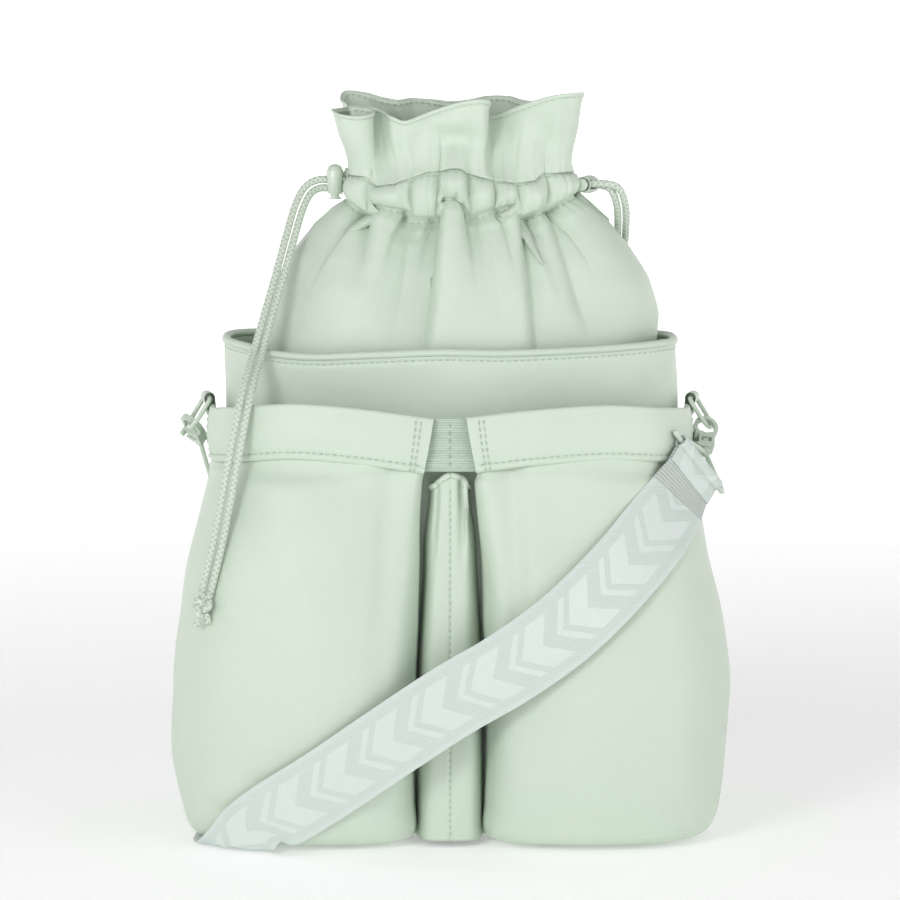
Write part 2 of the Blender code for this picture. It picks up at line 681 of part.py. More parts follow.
def build_strap_fold(side, word, towards):
    """The webbing's end, folded round the loop's bar and sewn: a sleeve with a bore for the bar."""
    _, first, second = loop_corners(side)
    along = (second - first).normalized()
    middle = (first + second) / 2
    out = (towards - middle)
    out = (out - along * out.dot(along)).normalized()
    up = along.cross(out)
    turns = [math.radians(20) + math.radians(320) * i / 14 for i in range(15)]
    profile = [middle + (out * math.cos(t) + up * math.sin(t)) * FOLD_RADIUS for t in turns]
    half = FOLD_RADIUS * math.sin(math.radians(20))
    profile += [middle + out * FOLD_LENGTH - up * half, middle + out * FOLD_LENGTH + up * half]
    bore = [middle + (out * math.cos(t) + up * math.sin(t)) * FOLD_BORE for t in np.linspace(0, 2 * math.pi, 13)[:-1]]
    fold = extruded(f"strap_fold_{word}", profile, along, STRAP_WIDTH - 4 * MM, PALE_WEBBING, roughness=0.8)
    cut(fold, extruded(f"cut_fold_{word}", bore, along, STRAP_WIDTH * 2, PALE_WEBBING))


def front_of_pockets(x, z):
    """Y of the pockets' front at a place, with the valley between them bridged over."""
    loop = pocket_outline(min(max(z, POCKET_LOW_Z), POCKET_TOP_Z))[:29]
    forward = loop[: int(np.argmax(loop[:, 0])) + 1]
    ahead = forward[int(np.argmin(forward[:, 1])) :]
    return float(np.interp(abs(x), ahead[:, 0], ahead[:, 1]))


def rear_wall(x):
    """Point, outward normal and sideways tangent of the bucket's back wall at an x."""
    y = BODY_HALF_DEPTH * (1 - abs(x / BODY_HALF_WIDTH) ** BODY_SQUARENESS) ** (1 / BODY_SQUARENESS)
    power = BODY_SQUARENESS - 1
    normal = Vector(
        (math.copysign(abs(x / BODY_HALF_WIDTH) ** power / BODY_HALF_WIDTH, x), (y / BODY_HALF_DEPTH) ** power / BODY_HALF_DEPTH, 0)
    ).normalized()
    return Vector((x, y, 0)), normal, Vector((normal.y, -normal.x, 0))


def strap_rows():
    """Edge points of the webbing, from the right fold down the front, under the bag and up to the left fold."""
    half = STRAP_WIDTH / 2
    _, first, second = loop_corners(1)
    middle, along = (first + second) / 2, (second - first).normalized()
    start = STRAP_START
    rows = [(start - along * half, start + along * half)]
    centres = [(start.x, start.z)] + [(x * MM, z * MM) for x, z in STRAP_FRONT]
    for i in range(1, len(centres) - 1):
        ahead = np.array(centres[i + 1]) - np.array(centres[i - 1])
        ahead /= np.linalg.norm(ahead)
        row = []
        for sign in (-1, 1):
            x = centres[i][0] - sign * ahead[1] * half
            z = max(centres[i][1] + sign * ahead[0] * half, 6 * MM)
            row.append(Vector((x, front_of_pockets(x, z) - STRAP_CLEAR, z)))
        rows.append(tuple(row))
    rows += [(Vector(a) * MM, Vector(b) * MM) for a, b in STRAP_UNDER]
    for x, z, tilt in STRAP_REAR:
        point, normal, tangent = rear_wall(x * MM)
        centre = point + normal * STRAP_REAR_CLEAR + Vector((0, 0, z * MM))
        wide = tangent * math.cos(math.radians(tilt)) + Vector((0, 0, 1)) * math.sin(math.radians(tilt))
        rows.append((centre - wide * half, centre + wide * half))
    _, first, second = loop_corners(-1)
    along = (second - first).normalized()
    rows.append((STRAP_FINISH - along * half, STRAP_FINISH + along * half))
    return rows


def build_strap():
    across = 5
    grid = []
    for number, (left, right) in enumerate(strap_rows()):
        row = [left + (right - left) * i / (across - 1) for i in range(across)]
        if 1 <= number <= len(STRAP_FRONT) - 1:
            row = [Vector((p.x, min(p.y, front_of_pockets(p.x, p.z) - STRAP_CLEAR), p.z)) for p in row]
        grid.append(row)
    grid = np.array(grid)
    rows = smooth_path(grid.reshape(len(grid), -1), 2).reshape(-1, across, 3)
    on_front = (rows[:, :, 1] < -60 * MM) & (rows[:, :, 2] > 2.6 * MM)
    for r, c in zip(*np.nonzero(on_front)):
        x, y, z = rows[r, c]
        rows[r, c, 1] = min(y, front_of_pockets(x, z) - STRAP_CLEAR)
    rows[:, :, 2] = np.maximum(rows[:, :, 2], 1.3 * MM)
    normal = np.cross(np.gradient(rows, axis=0), np.gradient(rows, axis=1))
    normal /= np.linalg.norm(normal, axis=2)[:, :, None]
    sheet_solid("strap_webbing", rows + normal * STRAP_THICK / 2, rows - normal * STRAP_THICK / 2, PALE_WEBBING, 0.8)


def build_slider():
    """A flat frame round the doubled webbing behind the bag."""
    point, normal, tangent = rear_wall(STRAP_REAR[1][0] * MM)
    centre = point + normal * STRAP_REAR_CLEAR + Vector((0, 0, SLIDER_Z))
    up = Vector((0, 0, 1))

    def block(name, width, thick, height):
        corners = ((-1, -1), (1, -1), (1, 1), (-1, 1))
        profile = [centre + tangent * a * width / 2 + normal * b * thick / 2 for a, b in corners]
        return extruded(name, profile, up, height, MINT, origin=centre, roughness=0.35)

    slider = block("strap_slider", 45 * MM, 5.2 * MM, 12 * MM)
    cut(slider, block("cut_slider", 39.4 * MM, 3.0 * MM, 30 * MM))


def cord_loop(side, word):
    """One draw cord inside the casing, from its exit right round the neck and back to its exit."""
    start = 0.0 if side > 0 else math.pi
    path = []
    steps = 34
    trim = math.radians(15)
    for i in range(steps + 1):
        angle = start + trim + (2 * math.pi - 2 * trim) * i / steps
        x, y = oval(CASING_HALF_WIDTH, CASING_HALF_DEPTH, angle, 2.0, NECK_X)
        out = Vector((math.cos(angle) * CASING_HALF_DEPTH, math.sin(angle) * CASING_HALF_WIDTH, 0)).normalized()
        shift = -side * CORD_RADIUS * 1.15 * math.sin(angle) ** 2
        z = CORD_MID_Z + side * CORD_CROSS * math.cos(angle)
        path.append(Vector((x, y, z)) + out * shift)
    exit_point, through, stack = lock_frame(side)
    lead = [exit_point - through * reach * MM for reach in (0.3, 2.2)]
    first, last = path[0], path[-1]

    def turn(near, sign):
        ends = [p + stack * sign * STRAND_APART for p in lead]
        return [ends[0], ends[1], (ends[1] * 0.45 + near * 0.55) + through * 1.0 * MM]

    begin = -1 if (first.y < 0) == (stack.y < 0 or stack.z > 0) else 1
    points = turn(first, -begin) + path + turn(last, begin)[::-1]
    make_tube(f"drawcord_{word}", points, CORD_RADIUS, PALE_WEBBING, roughness=0.8)


def lock_frame(side):
    """Where the strands leave the casing, their direction through the lock, and their stacking direction."""
    if side > 0:
        turn = math.radians(25)
        through = Vector((math.cos(turn), -math.sin(turn), 0))
        stack = Vector((-math.sin(turn), -math.cos(turn), 0))
    else:
        through = Vector((-1, 0, 0))
        stack = Vector((0, 0, -1))
    exit_x = NECK_X + side * 61.2 * MM
    return Vector((exit_x, 0, CORD_MID_Z + CORD_CROSS)), through, stack


def strand_paths(side):
    """Centre lines of the two free strands on one side: one route, with a strand on each side of it."""
    exit_point, through, stack = lock_frame(side)
    route = [exit_point, exit_point + through * 7 * MM, exit_point + through * 14 * MM]
    route += [Vector(p) * MM for p in (ROUTE_RIGHT if side > 0 else ROUTE_LEFT)]
    if side < 0:
        route += [on_pocket(x * MM, z * MM, CORD_CLEAR) for x, z in HANG_LEFT]
    base = smooth_path(route, 2)
    along = np.gradient(base, axis=0)
    along /= np.linalg.norm(along, axis=1)[:, None]
    share = np.clip(np.linspace(-0.1, 2.2, len(base)), 0, 1)[:, None]
    start_normal = np.array(stack.cross(through))
    hang_normal = np.array((0, 1.0, 0)) * (1 if side > 0 else math.copysign(1, start_normal[1]))
    facing = start_normal * (1 - share) + hang_normal * share
    aside = np.cross(through_sign(start_normal, through, stack) * along, facing)
    aside /= np.linalg.norm(aside, axis=1)[:, None]
    return base + aside * STRAND_APART, base - aside * STRAND_APART


def on_pocket(x, z, clear):
    return Vector((x, front_of_pockets(x, z) - clear, z))


def through_sign(normal, through, stack):
    return 1.0 if np.dot(np.cross(np.array(through), normal), np.array(stack)) > 0 else -1.0


def build_cords(side, word):
    cord_loop(side, word)
    for path, letter in zip(strand_paths(side), "ab"):
        make_tube(f"cord_strand_{word}_{letter}", path, CORD_RADIUS, PALE_WEBBING, roughness=0.8)
        length = sum(np.linalg.norm(b - a) for a, b in zip(path, path[1:]))
        print(f"strand {word} {letter}: {length * 1000:.1f} mm, ends at {np.round(path[-1] * 1000, 1)}")
    centre = Vector(KNOT_RIGHT) * MM if side > 0 else on_pocket(KNOT_LEFT[0] * MM, KNOT_LEFT[1] * MM, KNOT_CLEAR)
    profile = [(-6.5, 0), (-5.2, 3.2), (-2, 5.6), (2, 5.6), (5.2, 3.2), (6.5, 0)]
    turned(f"cord_knot_{word}", centre, Vector((0, 0, 1)), profile, PALE_WEBBING, count=12)


def build_lock(side, word):
    """Cord lock: a barrel with a sprung plunger. Distances run along the axis towards the button."""
    exit_point, through, stack = lock_frame(side)
    centre = exit_point + through * LOCK_FROM_EXIT
    other = stack.cross(through)

    def slot(name, width, low, high):
        corners = ((low, -1), (high, -1), (high, 1), (low, 1))
        profile = [centre + stack * a * MM + other * b * width / 2 * MM for a, b in corners]
        return extruded(name, profile, through, 16 * MM, MINT)

    shell = [(-10.6, 0), (-10.3, 1.9), (-9.2, 3.5), (-7.0, 4.4), (-3.5, 4.75), (1, 4.7), (5.0, 4.3)]
    shell += [(5.0, 3.6), (-9.3, 3.6), (-9.3, 0)]
    barrel = turned(f"lock_barrel_{word}", centre, stack, shell, MINT, count=18)
    cut(barrel, slot(f"cut_barrel_{word}", 4.9, -4.5, 4.5))
    plunger = turned(f"lock_button_{word}", centre, stack, [(-5.8, 0), (-5.8, 3.3), (7.4, 3.3), (7.8, 2.9), (7.8, 0)], MINT)
    cut(plunger, slot(f"cut_button_{word}", 4.8, -4.6, 6.9))
    turns, low, high = 2.5, -8.9, -6.2
    coil = []
    for i in range(26):
        angle = 2 * math.pi * turns * i / 25
        place = centre + stack * (low + (high - low) * i / 25) * MM
        coil.append(place + (through * math.cos(angle) + other * math.sin(angle)) * 2.4 * MM)
    make_tube(f"lock_spring_{word}", coil, 0.3 * MM, STEEL, sides=0, roughness=0.3)


clear_scene()
bag = bpy.data.objects.new("bag", None)
bag.location = (0, SEAM_Y, 0)
bpy.context.scene.collection.objects.link(bag)
bpy.context.view_layer.update()

build_bucket()
build_base_and_lining()
build_rim_piping()
build_pouch()
build_casing()
build_ruffle()
build_pockets()
build_bands()
build_elastic_and_pleat()
for side, word in ((-1, "left"), (1, "right")):
    build_tab(side, word)
    make_tube(f"ring_{word}", ring_path(side), RING_WIRE, MINT, closed=True, origin=side_frame(side)[0], roughness=0.35)
    build_hook(side, word)
    build_strap_loop(side, word)
    build_strap_fold(side, word, STRAP_START if side > 0 else STRAP_FINISH)
    build_cords(side, word)
    build_lock(side, word)
build_strap()
build_slider()
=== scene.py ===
"""Looks of the drawstring bucket bag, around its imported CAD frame.

Metres, in the CAD's own row frame: +Z up, front towards -Y. Surfaces are written with
Y measured from the plane of the side seams, and world() moves them into the frame.
"""

import math

import bmesh
import bpy
import numpy as np
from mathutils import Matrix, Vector, noise

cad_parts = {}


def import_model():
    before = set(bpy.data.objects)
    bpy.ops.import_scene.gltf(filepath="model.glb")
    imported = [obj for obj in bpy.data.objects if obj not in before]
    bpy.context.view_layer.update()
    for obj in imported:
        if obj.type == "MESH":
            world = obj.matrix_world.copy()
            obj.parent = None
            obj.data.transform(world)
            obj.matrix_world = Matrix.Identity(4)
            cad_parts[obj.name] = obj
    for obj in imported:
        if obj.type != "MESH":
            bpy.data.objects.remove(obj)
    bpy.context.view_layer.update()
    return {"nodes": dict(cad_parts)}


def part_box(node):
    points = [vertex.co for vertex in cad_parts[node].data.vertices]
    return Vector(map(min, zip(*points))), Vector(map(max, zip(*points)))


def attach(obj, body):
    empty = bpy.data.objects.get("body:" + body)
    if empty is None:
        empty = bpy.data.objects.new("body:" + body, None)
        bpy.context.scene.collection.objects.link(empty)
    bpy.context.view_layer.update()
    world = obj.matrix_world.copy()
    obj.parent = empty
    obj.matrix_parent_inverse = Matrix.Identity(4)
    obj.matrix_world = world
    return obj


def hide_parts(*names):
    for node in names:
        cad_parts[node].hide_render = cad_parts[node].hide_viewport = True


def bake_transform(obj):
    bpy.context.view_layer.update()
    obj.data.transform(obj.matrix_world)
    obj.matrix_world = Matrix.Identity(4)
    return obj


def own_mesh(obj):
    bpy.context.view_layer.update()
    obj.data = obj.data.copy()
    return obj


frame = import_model()

MM = 0.001
TURN = 6.2832
SEAM_Y = 24.4 * MM
SIDES = ((-1, "left"), (1, "right"))

# Camera
CAMERA_DISTANCE = 2.2
CAMERA_ELEVATION = math.radians(6)
CAMERA_HEIGHT = 196.7 * MM
CAMERA_SEES_TO = 20
LENS_MM = 166

# Bucket body and gathered pouch, as in the CAD
BODY_HALF_WIDTH = 119 * MM
BODY_HALF_DEPTH = 62 * MM
BODY_SQUARENESS = 3.0
NECK_X = 6 * MM
NECK_SQUARENESS = 2.1
CORD_RADIUS = 2.0 * MM


def world(points):
    """Points measured from the seam plane, moved into the row frame."""
    moved = np.array(points, float)
    moved[..., 1] += SEAM_Y
    return moved


def unit(vectors):
    """The vectors of an array, each divided by its length."""
    return vectors / np.linalg.norm(vectors, axis=-1)[..., None]


def reach_along(path):
    """Distance from the path's start to each of its points."""
    return np.concatenate([[0], np.cumsum(np.linalg.norm(np.diff(path, axis=0), axis=1))])


def bell(value, width):
    """A rounded hump: one at nothing, and fading over the width."""
    return np.exp(-((value / width) ** 2))


# ------------------------------------------------------------------ camera

target = Vector((0, SEAM_Y, CAMERA_HEIGHT))
camera_data = bpy.data.cameras.new("camera")
camera_data.lens = LENS_MM
camera_data.clip_end = CAMERA_SEES_TO
camera = bpy.data.objects.new("camera", camera_data)
bpy.context.scene.collection.objects.link(camera)
back = Vector((0, -math.cos(CAMERA_ELEVATION), math.sin(CAMERA_ELEVATION)))
camera.location = target + back * CAMERA_DISTANCE
camera.rotation_euler = (-back).to_track_quat("-Z", "Y").to_euler()
bpy.context.scene.camera = camera


# --------------------------------------------------------------- materials


class Shader:
    """A Principled material with short calls for its procedural nodes."""

    def __init__(self, name, colour, roughness=0.5, **sockets):
        self.material = bpy.data.materials.new(name)
        self.material.use_nodes = True
        self.tree = self.material.node_tree
        self.shader = self.tree.nodes["Principled BSDF"]
        self.set("Base Color", (*colour, 1))
        self.set("Roughness", roughness)
        for socket, value in sockets.items():
            self.set(socket.replace("_", " "), value)
        self.material.diffuse_color = (*colour, 1)

    def set(self, socket, value):
        self.shader.inputs[socket].default_value = value

    def node(self, kind, **values):
        made = self.tree.nodes.new(kind)
        for key, value in values.items():
            if key in made.inputs:
                made.inputs[key].default_value = value
            else:
                setattr(made, key, value)
        return made

    def link(self, a, b):
        self.tree.links.new(a, b)

    def math(self, operation, a, b=0.0, c=None):
        made = self.node("ShaderNodeMath", operation=operation)
        for slot, value in zip(made.inputs, (a, b, c)):
            if value is None:
                continue
            if isinstance(value, (int, float)):
                slot.default_value = value
            else:
                self.link(value, slot)
        return made.outputs[0]

    def coordinates(self, kind="Object"):
        return self.node("ShaderNodeTexCoord").outputs[kind]

    def noise(self, scale, detail=2.0, vector=None):
        made = self.node("ShaderNodeTexNoise", Scale=scale, Detail=detail)
        self.link(vector or self.coordinates(), made.inputs["Vector"])
        return made.outputs["Fac"]

    def ramp(self, value, low, high, first, second):
        made = self.node("ShaderNodeMapRange")
        made.inputs["From Min"].default_value = low
        made.inputs["From Max"].default_value = high
        made.inputs["To Min"].default_value = first
        made.inputs["To Max"].default_value = second
        self.link(value, made.inputs["Value"])
        return made.outputs["Result"]

    def mix(self, factor, first, second):
        made = self.node("ShaderNodeMix", data_type="RGBA")
        self.link(factor, made.inputs[0])
        for slot, value in ((made.inputs[6], first), (made.inputs[7], second)):
            if isinstance(value, tuple):
                slot.default_value = (*value, 1)
            else:
                self.link(value, slot)
        return made.outputs[2]

    def wave(self, value, period):
        """A sine along a coordinate that repeats once per period."""
        return self.math("SINE", self.math("MULTIPLY", value, TURN / period))

    def axes(self, kind="Object"):
        """The x, y and z of a coordinate."""
        made = self.node("ShaderNodeSeparateXYZ")
        self.link(self.coordinates(kind), made.inputs[0])
        return made.outputs

    def colour(self, value):
        self.link(value, self.shader.inputs["Base Color"])

    def bump(self, layers):
        """Bump layers as (height, strength, distance in metres), from the finest to the broadest."""
        previous = None
        for height, strength, distance in layers:
            made = self.node("ShaderNodeBump", Strength=strength, Distance=distance)
            self.link(height, made.inputs["Height"])
            if previous is not None:
                self.link(previous, made.inputs["Normal"])
            previous = made.outputs["Normal"]
        self.link(previous, self.shader.inputs["Normal"])


MINT = (0.560, 0.652, 0.545)
MINT_DARK = (0.490, 0.575, 0.475)
THREAD = (0.400, 0.480, 0.390)
WEBBING = (0.640, 0.715, 0.680)


def leather(name, colour, shade, roughness=0.43):
    s = Shader(name, colour, roughness, Coat_Weight=0.06, Coat_Roughness=0.32)
    s.colour(s.mix(s.ramp(s.noise(14, 3), 0.35, 0.65, 0, 0.35), colour, shade))
    cells = s.node("ShaderNodeTexVoronoi", Scale=1500, feature="DISTANCE_TO_EDGE")
    s.link(s.coordinates(), cells.inputs["Vector"])
    pebble = s.ramp(cells.outputs["Distance"], 0.0, 0.35, 0, 1)
    fine = s.noise(900, 4)
    worn = s.ramp(s.noise(40, 4), 0.3, 0.7, roughness - 0.04, roughness + 0.06)
    s.link(worn, s.shader.inputs["Roughness"])
    s.bump([(pebble, 0.35, 0.0002), (fine, 0.35, 0.00015), (s.noise(120, 3), 0.16, 0.001)])
    return s.material


def braid(name):
    """A round braided cord: UV x runs along the cord in metres times 100, and UV y round it."""
    s = Shader(name, WEBBING, 0.6, Sheen_Weight=0.15)
    along, around, _ = s.axes("UV")
    along, around = s.math("MULTIPLY", along, 3.6), s.math("MULTIPLY", around, 3)
    one, two = (s.wave(s.math(lean, along, around), 1) for lean in ("ADD", "SUBTRACT"))
    over = s.math("MAXIMUM", one, two)
    height = s.math("POWER", s.math("MAXIMUM", over, 0.0), 0.5)
    # The colour runs from dark in the valleys between the strands to light on their crests: painted shade.
    s.colour(s.mix(s.ramp(height, 0.1, 0.9, 0, 1), (0.44, 0.53, 0.43), (0.62, 0.69, 0.60)))
    s.bump([(s.noise(2500, 2), 0.2, 0.0001), (height, 0.7, 0.0005)])
    return s.material


# The webbing's weave, in millimetres
WEBBING_WIDE = 38.0
MOTIF_REPEAT = 30.0
MOTIF_BARS = ((9.0, 6.5), (21.5, 2.0))  # each chevron's middle and half its thickness
MOTIF_HALF = 12.6
SELVEDGE_FROM = 16.6
SEWN_LENGTH = 15.0


def woven(name):
    """Jacquard webbing: UV x runs across in millimetres, and UV y along in millimetres."""
    s = Shader(name, WEBBING, 0.5, Sheen_Weight=0.2)
    across, along, _ = s.axes("UV")
    twill = s.wave(s.math("ADD", across, along), 1.1)
    counter = s.wave(s.math("SUBTRACT", across, along), 0.9)
    rib, band = s.wave(along, 1.0), s.wave(along, 2.1)

    def distance(value, place):
        return s.math("ABSOLUTE", s.math("SUBTRACT", value, place))

    # Generic motif: a wide and a thin chevron, repeated every 30 mm in the middle 25 mm of the width.
    middle = distance(across, WEBBING_WIDE / 2)
    bent = s.math("ADD", along, s.math("MULTIPLY", middle, 0.9))
    wrapped = s.math("MODULO", s.math("ADD", bent, 100 * MOTIF_REPEAT), MOTIF_REPEAT)
    wide, thin = (s.math("LESS_THAN", distance(wrapped, place), half) for place, half in MOTIF_BARS)
    motif = s.math("MULTIPLY", s.math("MAXIMUM", wide, thin), s.math("LESS_THAN", middle, MOTIF_HALF))
    sewn = s.math("LESS_THAN", along, SEWN_LENGTH)
    edge = s.math("GREATER_THAN", middle, SELVEDGE_FROM)
    weave = s.node("ShaderNodeMix", data_type="FLOAT")
    s.link(motif, weave.inputs[0])
    s.link(twill, weave.inputs[2])
    s.link(counter, weave.inputs[3])
    height = weave.outputs[0]
    ground = s.mix(s.ramp(twill, -1, 1, 0, 1), (0.52, 0.60, 0.56), (0.60, 0.67, 0.635))
    figure = s.mix(s.ramp(counter, -1, 1, 0, 1), (0.60, 0.67, 0.635), (0.65, 0.72, 0.685))
    plain = s.mix(s.ramp(rib, -1, 1, 0, 1), (0.55, 0.62, 0.585), (0.64, 0.71, 0.675))
    ribs = s.mix(s.ramp(band, -1, 1, 0, 1), (0.36, 0.41, 0.38), (0.56, 0.62, 0.59))
    s.colour(s.mix(sewn, s.mix(edge, s.mix(motif, ground, figure), plain), ribs))
    s.link(s.ramp(motif, 0, 1, 0.62, 0.4), s.shader.inputs["Roughness"])
    s.bump([(s.noise(1800, 2), 0.15, 0.0001), (height, 0.35, 0.00025), (motif, 0.5, 0.0003)])
    return s.material


def ribbed(name, period=1.3):
    s = Shader(name, MINT_DARK, 0.7, Sheen_Weight=0.15)
    x, _, z = s.axes()
    rib, knit = s.wave(z, period * MM), s.wave(x, 0.8 * MM)
    height = s.math("MULTIPLY", s.ramp(rib, -1, 1, 0, 1), s.ramp(knit, -1, 1, 0.7, 1))
    # The colour is dark in the grooves between the ribs and knit loops and light on the ribs: painted shade.
    s.colour(s.mix(height, (0.42, 0.53, 0.43), (0.60, 0.70, 0.60)))
    s.bump([(height, 0.7, 0.0005)])
    return s.material


def coated_metal(name):
    s = Shader(name, MINT, 0.34, Coat_Weight=0.3, Coat_Roughness=0.2)
    s.colour(s.mix(s.ramp(s.noise(60, 3), 0.3, 0.7, 0, 1), MINT, MINT_DARK))
    s.bump([(s.noise(700, 3), 0.08, 0.0001)])
    return s.material


def thread_material(name):
    s = Shader(name, THREAD, 0.6, Sheen_Weight=0.1)
    s.colour(s.mix(s.noise(700, 2), THREAD, (0.46, 0.54, 0.45)))
    s.bump([(s.noise(3000, 2), 0.3, 0.0001)])
    return s.material


def lining_material(name):
    s = Shader(name, (0.50, 0.61, 0.50), 0.8, Sheen_Weight=0.2)
    x, _, z = s.axes()
    warp, weft = s.wave(x, 0.9 * MM), s.wave(z, 0.9 * MM)
    s.colour(s.mix(s.noise(30, 3), (0.46, 0.57, 0.46), (0.54, 0.65, 0.54)))
    s.bump([(s.math("MULTIPLY", warp, weft), 0.4, 0.0002)])
    return s.material


LEATHER = leather("mint_leather", MINT, (0.525, 0.620, 0.510))
LEATHER_BACK = leather("mint_leather_inside", MINT_DARK, (0.44, 0.53, 0.43), 0.6)
BRAID = braid("braided_cord")
WOVEN = woven("woven_strap")
RIBBED = ribbed("ribbed_elastic")
METAL = coated_metal("mint_coated_metal")
LOCK = coated_metal("mint_moulded_plastic")
STITCH = thread_material("stitch_thread")
LINING = lining_material("lining_cloth")
STEEL = Shader("spring_steel", (0.55, 0.56, 0.55), 0.3, Metallic=1.0).material


# ------------------------------------------------------------ mesh helpers


def make_mesh(name, points, faces, material, body="bag", slot="leather", uvs=None, thickness=0.0, inside=None):
    """A smooth mesh that rides on a body, with an inward thickness and a second material inside if given."""
    mesh = bpy.data.meshes.new(name)
    mesh.from_pydata([tuple(p) for p in points], [], faces)
    if uvs is not None:
        layer = mesh.uv_layers.new(name="UVMap")
        for loop in mesh.loops:
            layer.data[loop.index].uv = uvs[loop.vertex_index]
    mesh.shade_smooth()
    mesh.materials.append(material)
    obj = bpy.data.objects.new(name, mesh)
    bpy.context.scene.collection.objects.link(obj)
    if thickness:
        thicken(obj, thickness, -1)
    if inside:
        mesh.materials.append(inside)
        obj.modifiers["thickness"].material_offset = 1
    if body:
        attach(obj, body)
    return obj


def thicken(obj, thickness, offset):
    solid = obj.modifiers.new("thickness", "SOLIDIFY")
    solid.thickness = thickness
    solid.offset = offset
    solid.use_even_offset = False


def grid_mesh(name, grid, material, closed=False, flip=False, **words):
    """A grid of points measured from the seam plane, as a mesh in the row frame."""
    faces = grid_faces(*grid.shape[:2], closed=closed, flip=flip)
    return make_mesh(name, world(grid).reshape(-1, 3), faces, material, **words)


def grid_faces(rows, columns, closed=False, flip=False):
    wrap = columns if closed else columns - 1
    faces = []
    for r in range(rows - 1):
        for c in range(wrap):
            d = (c + 1) % columns
            quad = (r * columns + c, r * columns + d, (r + 1) * columns + d, (r + 1) * columns + c)
            faces.append(quad[::-1] if flip else quad)
    return faces


def smooth_path(points, per_span, closed=False):
    """A Catmull-Rom curve through the points."""
    p = np.array(points, float)
    count = len(p)
    found = []
    for i in range(count if closed else count - 1):
        if closed:
            a, b, c, d = (p[(i + k) % count] for k in (-1, 0, 1, 2))
        else:
            b, c = p[i], p[i + 1]
            a = p[i - 1] if i else 2 * b - c
            d = p[i + 2] if i + 2 < count else 2 * c - b
        for step in range(per_span):
            t = step / per_span
            cubic = (2 * a - 5 * b + 4 * c - d) * t * t + (3 * b - a - 3 * c + d) * t**3
            found.append(0.5 * (2 * b + (c - a) * t + cubic))
    if not closed:
        found.append(p[-1])
    return np.array(found)


def resample(path, count, closed=False):
    """The path's points, evenly spaced along its length."""
    p = np.concatenate([path, path[:1]]) if closed else path
    reach = reach_along(p)
    places = np.linspace(0, reach[-1], count + 1 if closed else count)
    if closed:
        places = places[:-1]
    return np.stack([np.interp(places, reach, p[:, k]) for k in range(p.shape[1])], axis=1)


def grid_normals(points, closed=True):
    if closed:
        around = np.roll(points, -1, axis=1) - np.roll(points, 1, axis=1)
    else:
        around = np.gradient(points, axis=1)
    up = np.gradient(points, axis=0)
    normal = np.cross(around, up)
    return normal / np.maximum(np.linalg.norm(normal, axis=2), 1e-12)[:, :, None]


def noise_at(points, scale, seed=0.0):
    """Smooth noise from -1 to 1 at each point of an array."""
    flat = points.reshape(-1, 3)
    shift = np.array((seed, -seed, 0))
    values = [noise.noise(Vector(p * scale + shift)) for p in flat]
    return np.array(values).reshape(points.shape[:-1])


def frames_along(path, up=(0, 0, 1)):
    """Tangents and two cross directions that turn as little as possible."""
    along = unit(np.gradient(path, axis=0))
    first = np.cross(along[0], up)
    if np.linalg.norm(first) < 0.2:
        first = np.cross(along[0], (0, 1, 0))
    sides = [unit(first)]
    for t in along[1:]:
        sides.append(unit(sides[-1] - t * np.dot(sides[-1], t)))
    sides = np.array(sides)
    return along, sides, np.cross(along, sides)


UV_PER_METRE = 100.0
STITCH_LENGTH = 2.5 * MM
STITCH_PITCH = 3.5 * MM
STITCH_RADIUS = 0.42 * MM
STITCH_SIDES = 6
# Along a stitch: share of its length, share of its radius, rise in radii
STITCH_PROFILE = (
    (0.0, 0.35, -0.5), (0.18, 0.85, 0.0), (0.5, 1.0, 0.25),
    (0.82, 0.85, 0.0), (1.0, 0.35, -0.5),
)


def tube(name, path, radius, material, body="bag", slot="cord", sides=12, closed=False, radii=None):
    """A round tube with UVs: x along it in metres times UV_PER_METRE, and y once round."""
    path = np.array(path, float)
    if closed:
        path = np.concatenate([path, path[:1]])
    along, side, other = frames_along(path)
    reach = reach_along(path)
    size = np.full(len(path), radius) if radii is None else np.array(radii)
    points, uvs = [], []
    for i, centre in enumerate(path):
        for k in range(sides + 1):
            angle = 2 * math.pi * k / sides
            points.append(centre + (side[i] * math.cos(angle) + other[i] * math.sin(angle)) * size[i])
            uvs.append((reach[i] * UV_PER_METRE, k / sides))
    faces = grid_faces(len(path), sides + 1, flip=True)
    if not closed:
        for row, order in ((0, 1), (len(path) - 1, -1)):
            faces.append(tuple(row * (sides + 1) + k for k in range(sides))[::order])
    obj = make_mesh(name, points, faces, material, body, slot, uvs)
    clean(obj, merge=1e-6)
    return obj


def clean(obj, merge=None, close=False, sharp=None):
    """Merges a mesh's doubled points, closes its open ends, and turns its faces outwards, as asked."""
    work = bmesh.new()
    work.from_mesh(obj.data)
    if merge:
        bmesh.ops.remove_doubles(work, verts=work.verts, dist=merge)
    if close:
        bmesh.ops.holes_fill(work, edges=[e for e in work.edges if e.is_boundary], sides=400)
    bmesh.ops.recalc_face_normals(work, faces=work.faces)
    work.to_mesh(obj.data)
    work.free()
    obj.data.shade_smooth()
    if sharp:
        obj.data.set_sharp_from_angle(angle=math.radians(sharp))


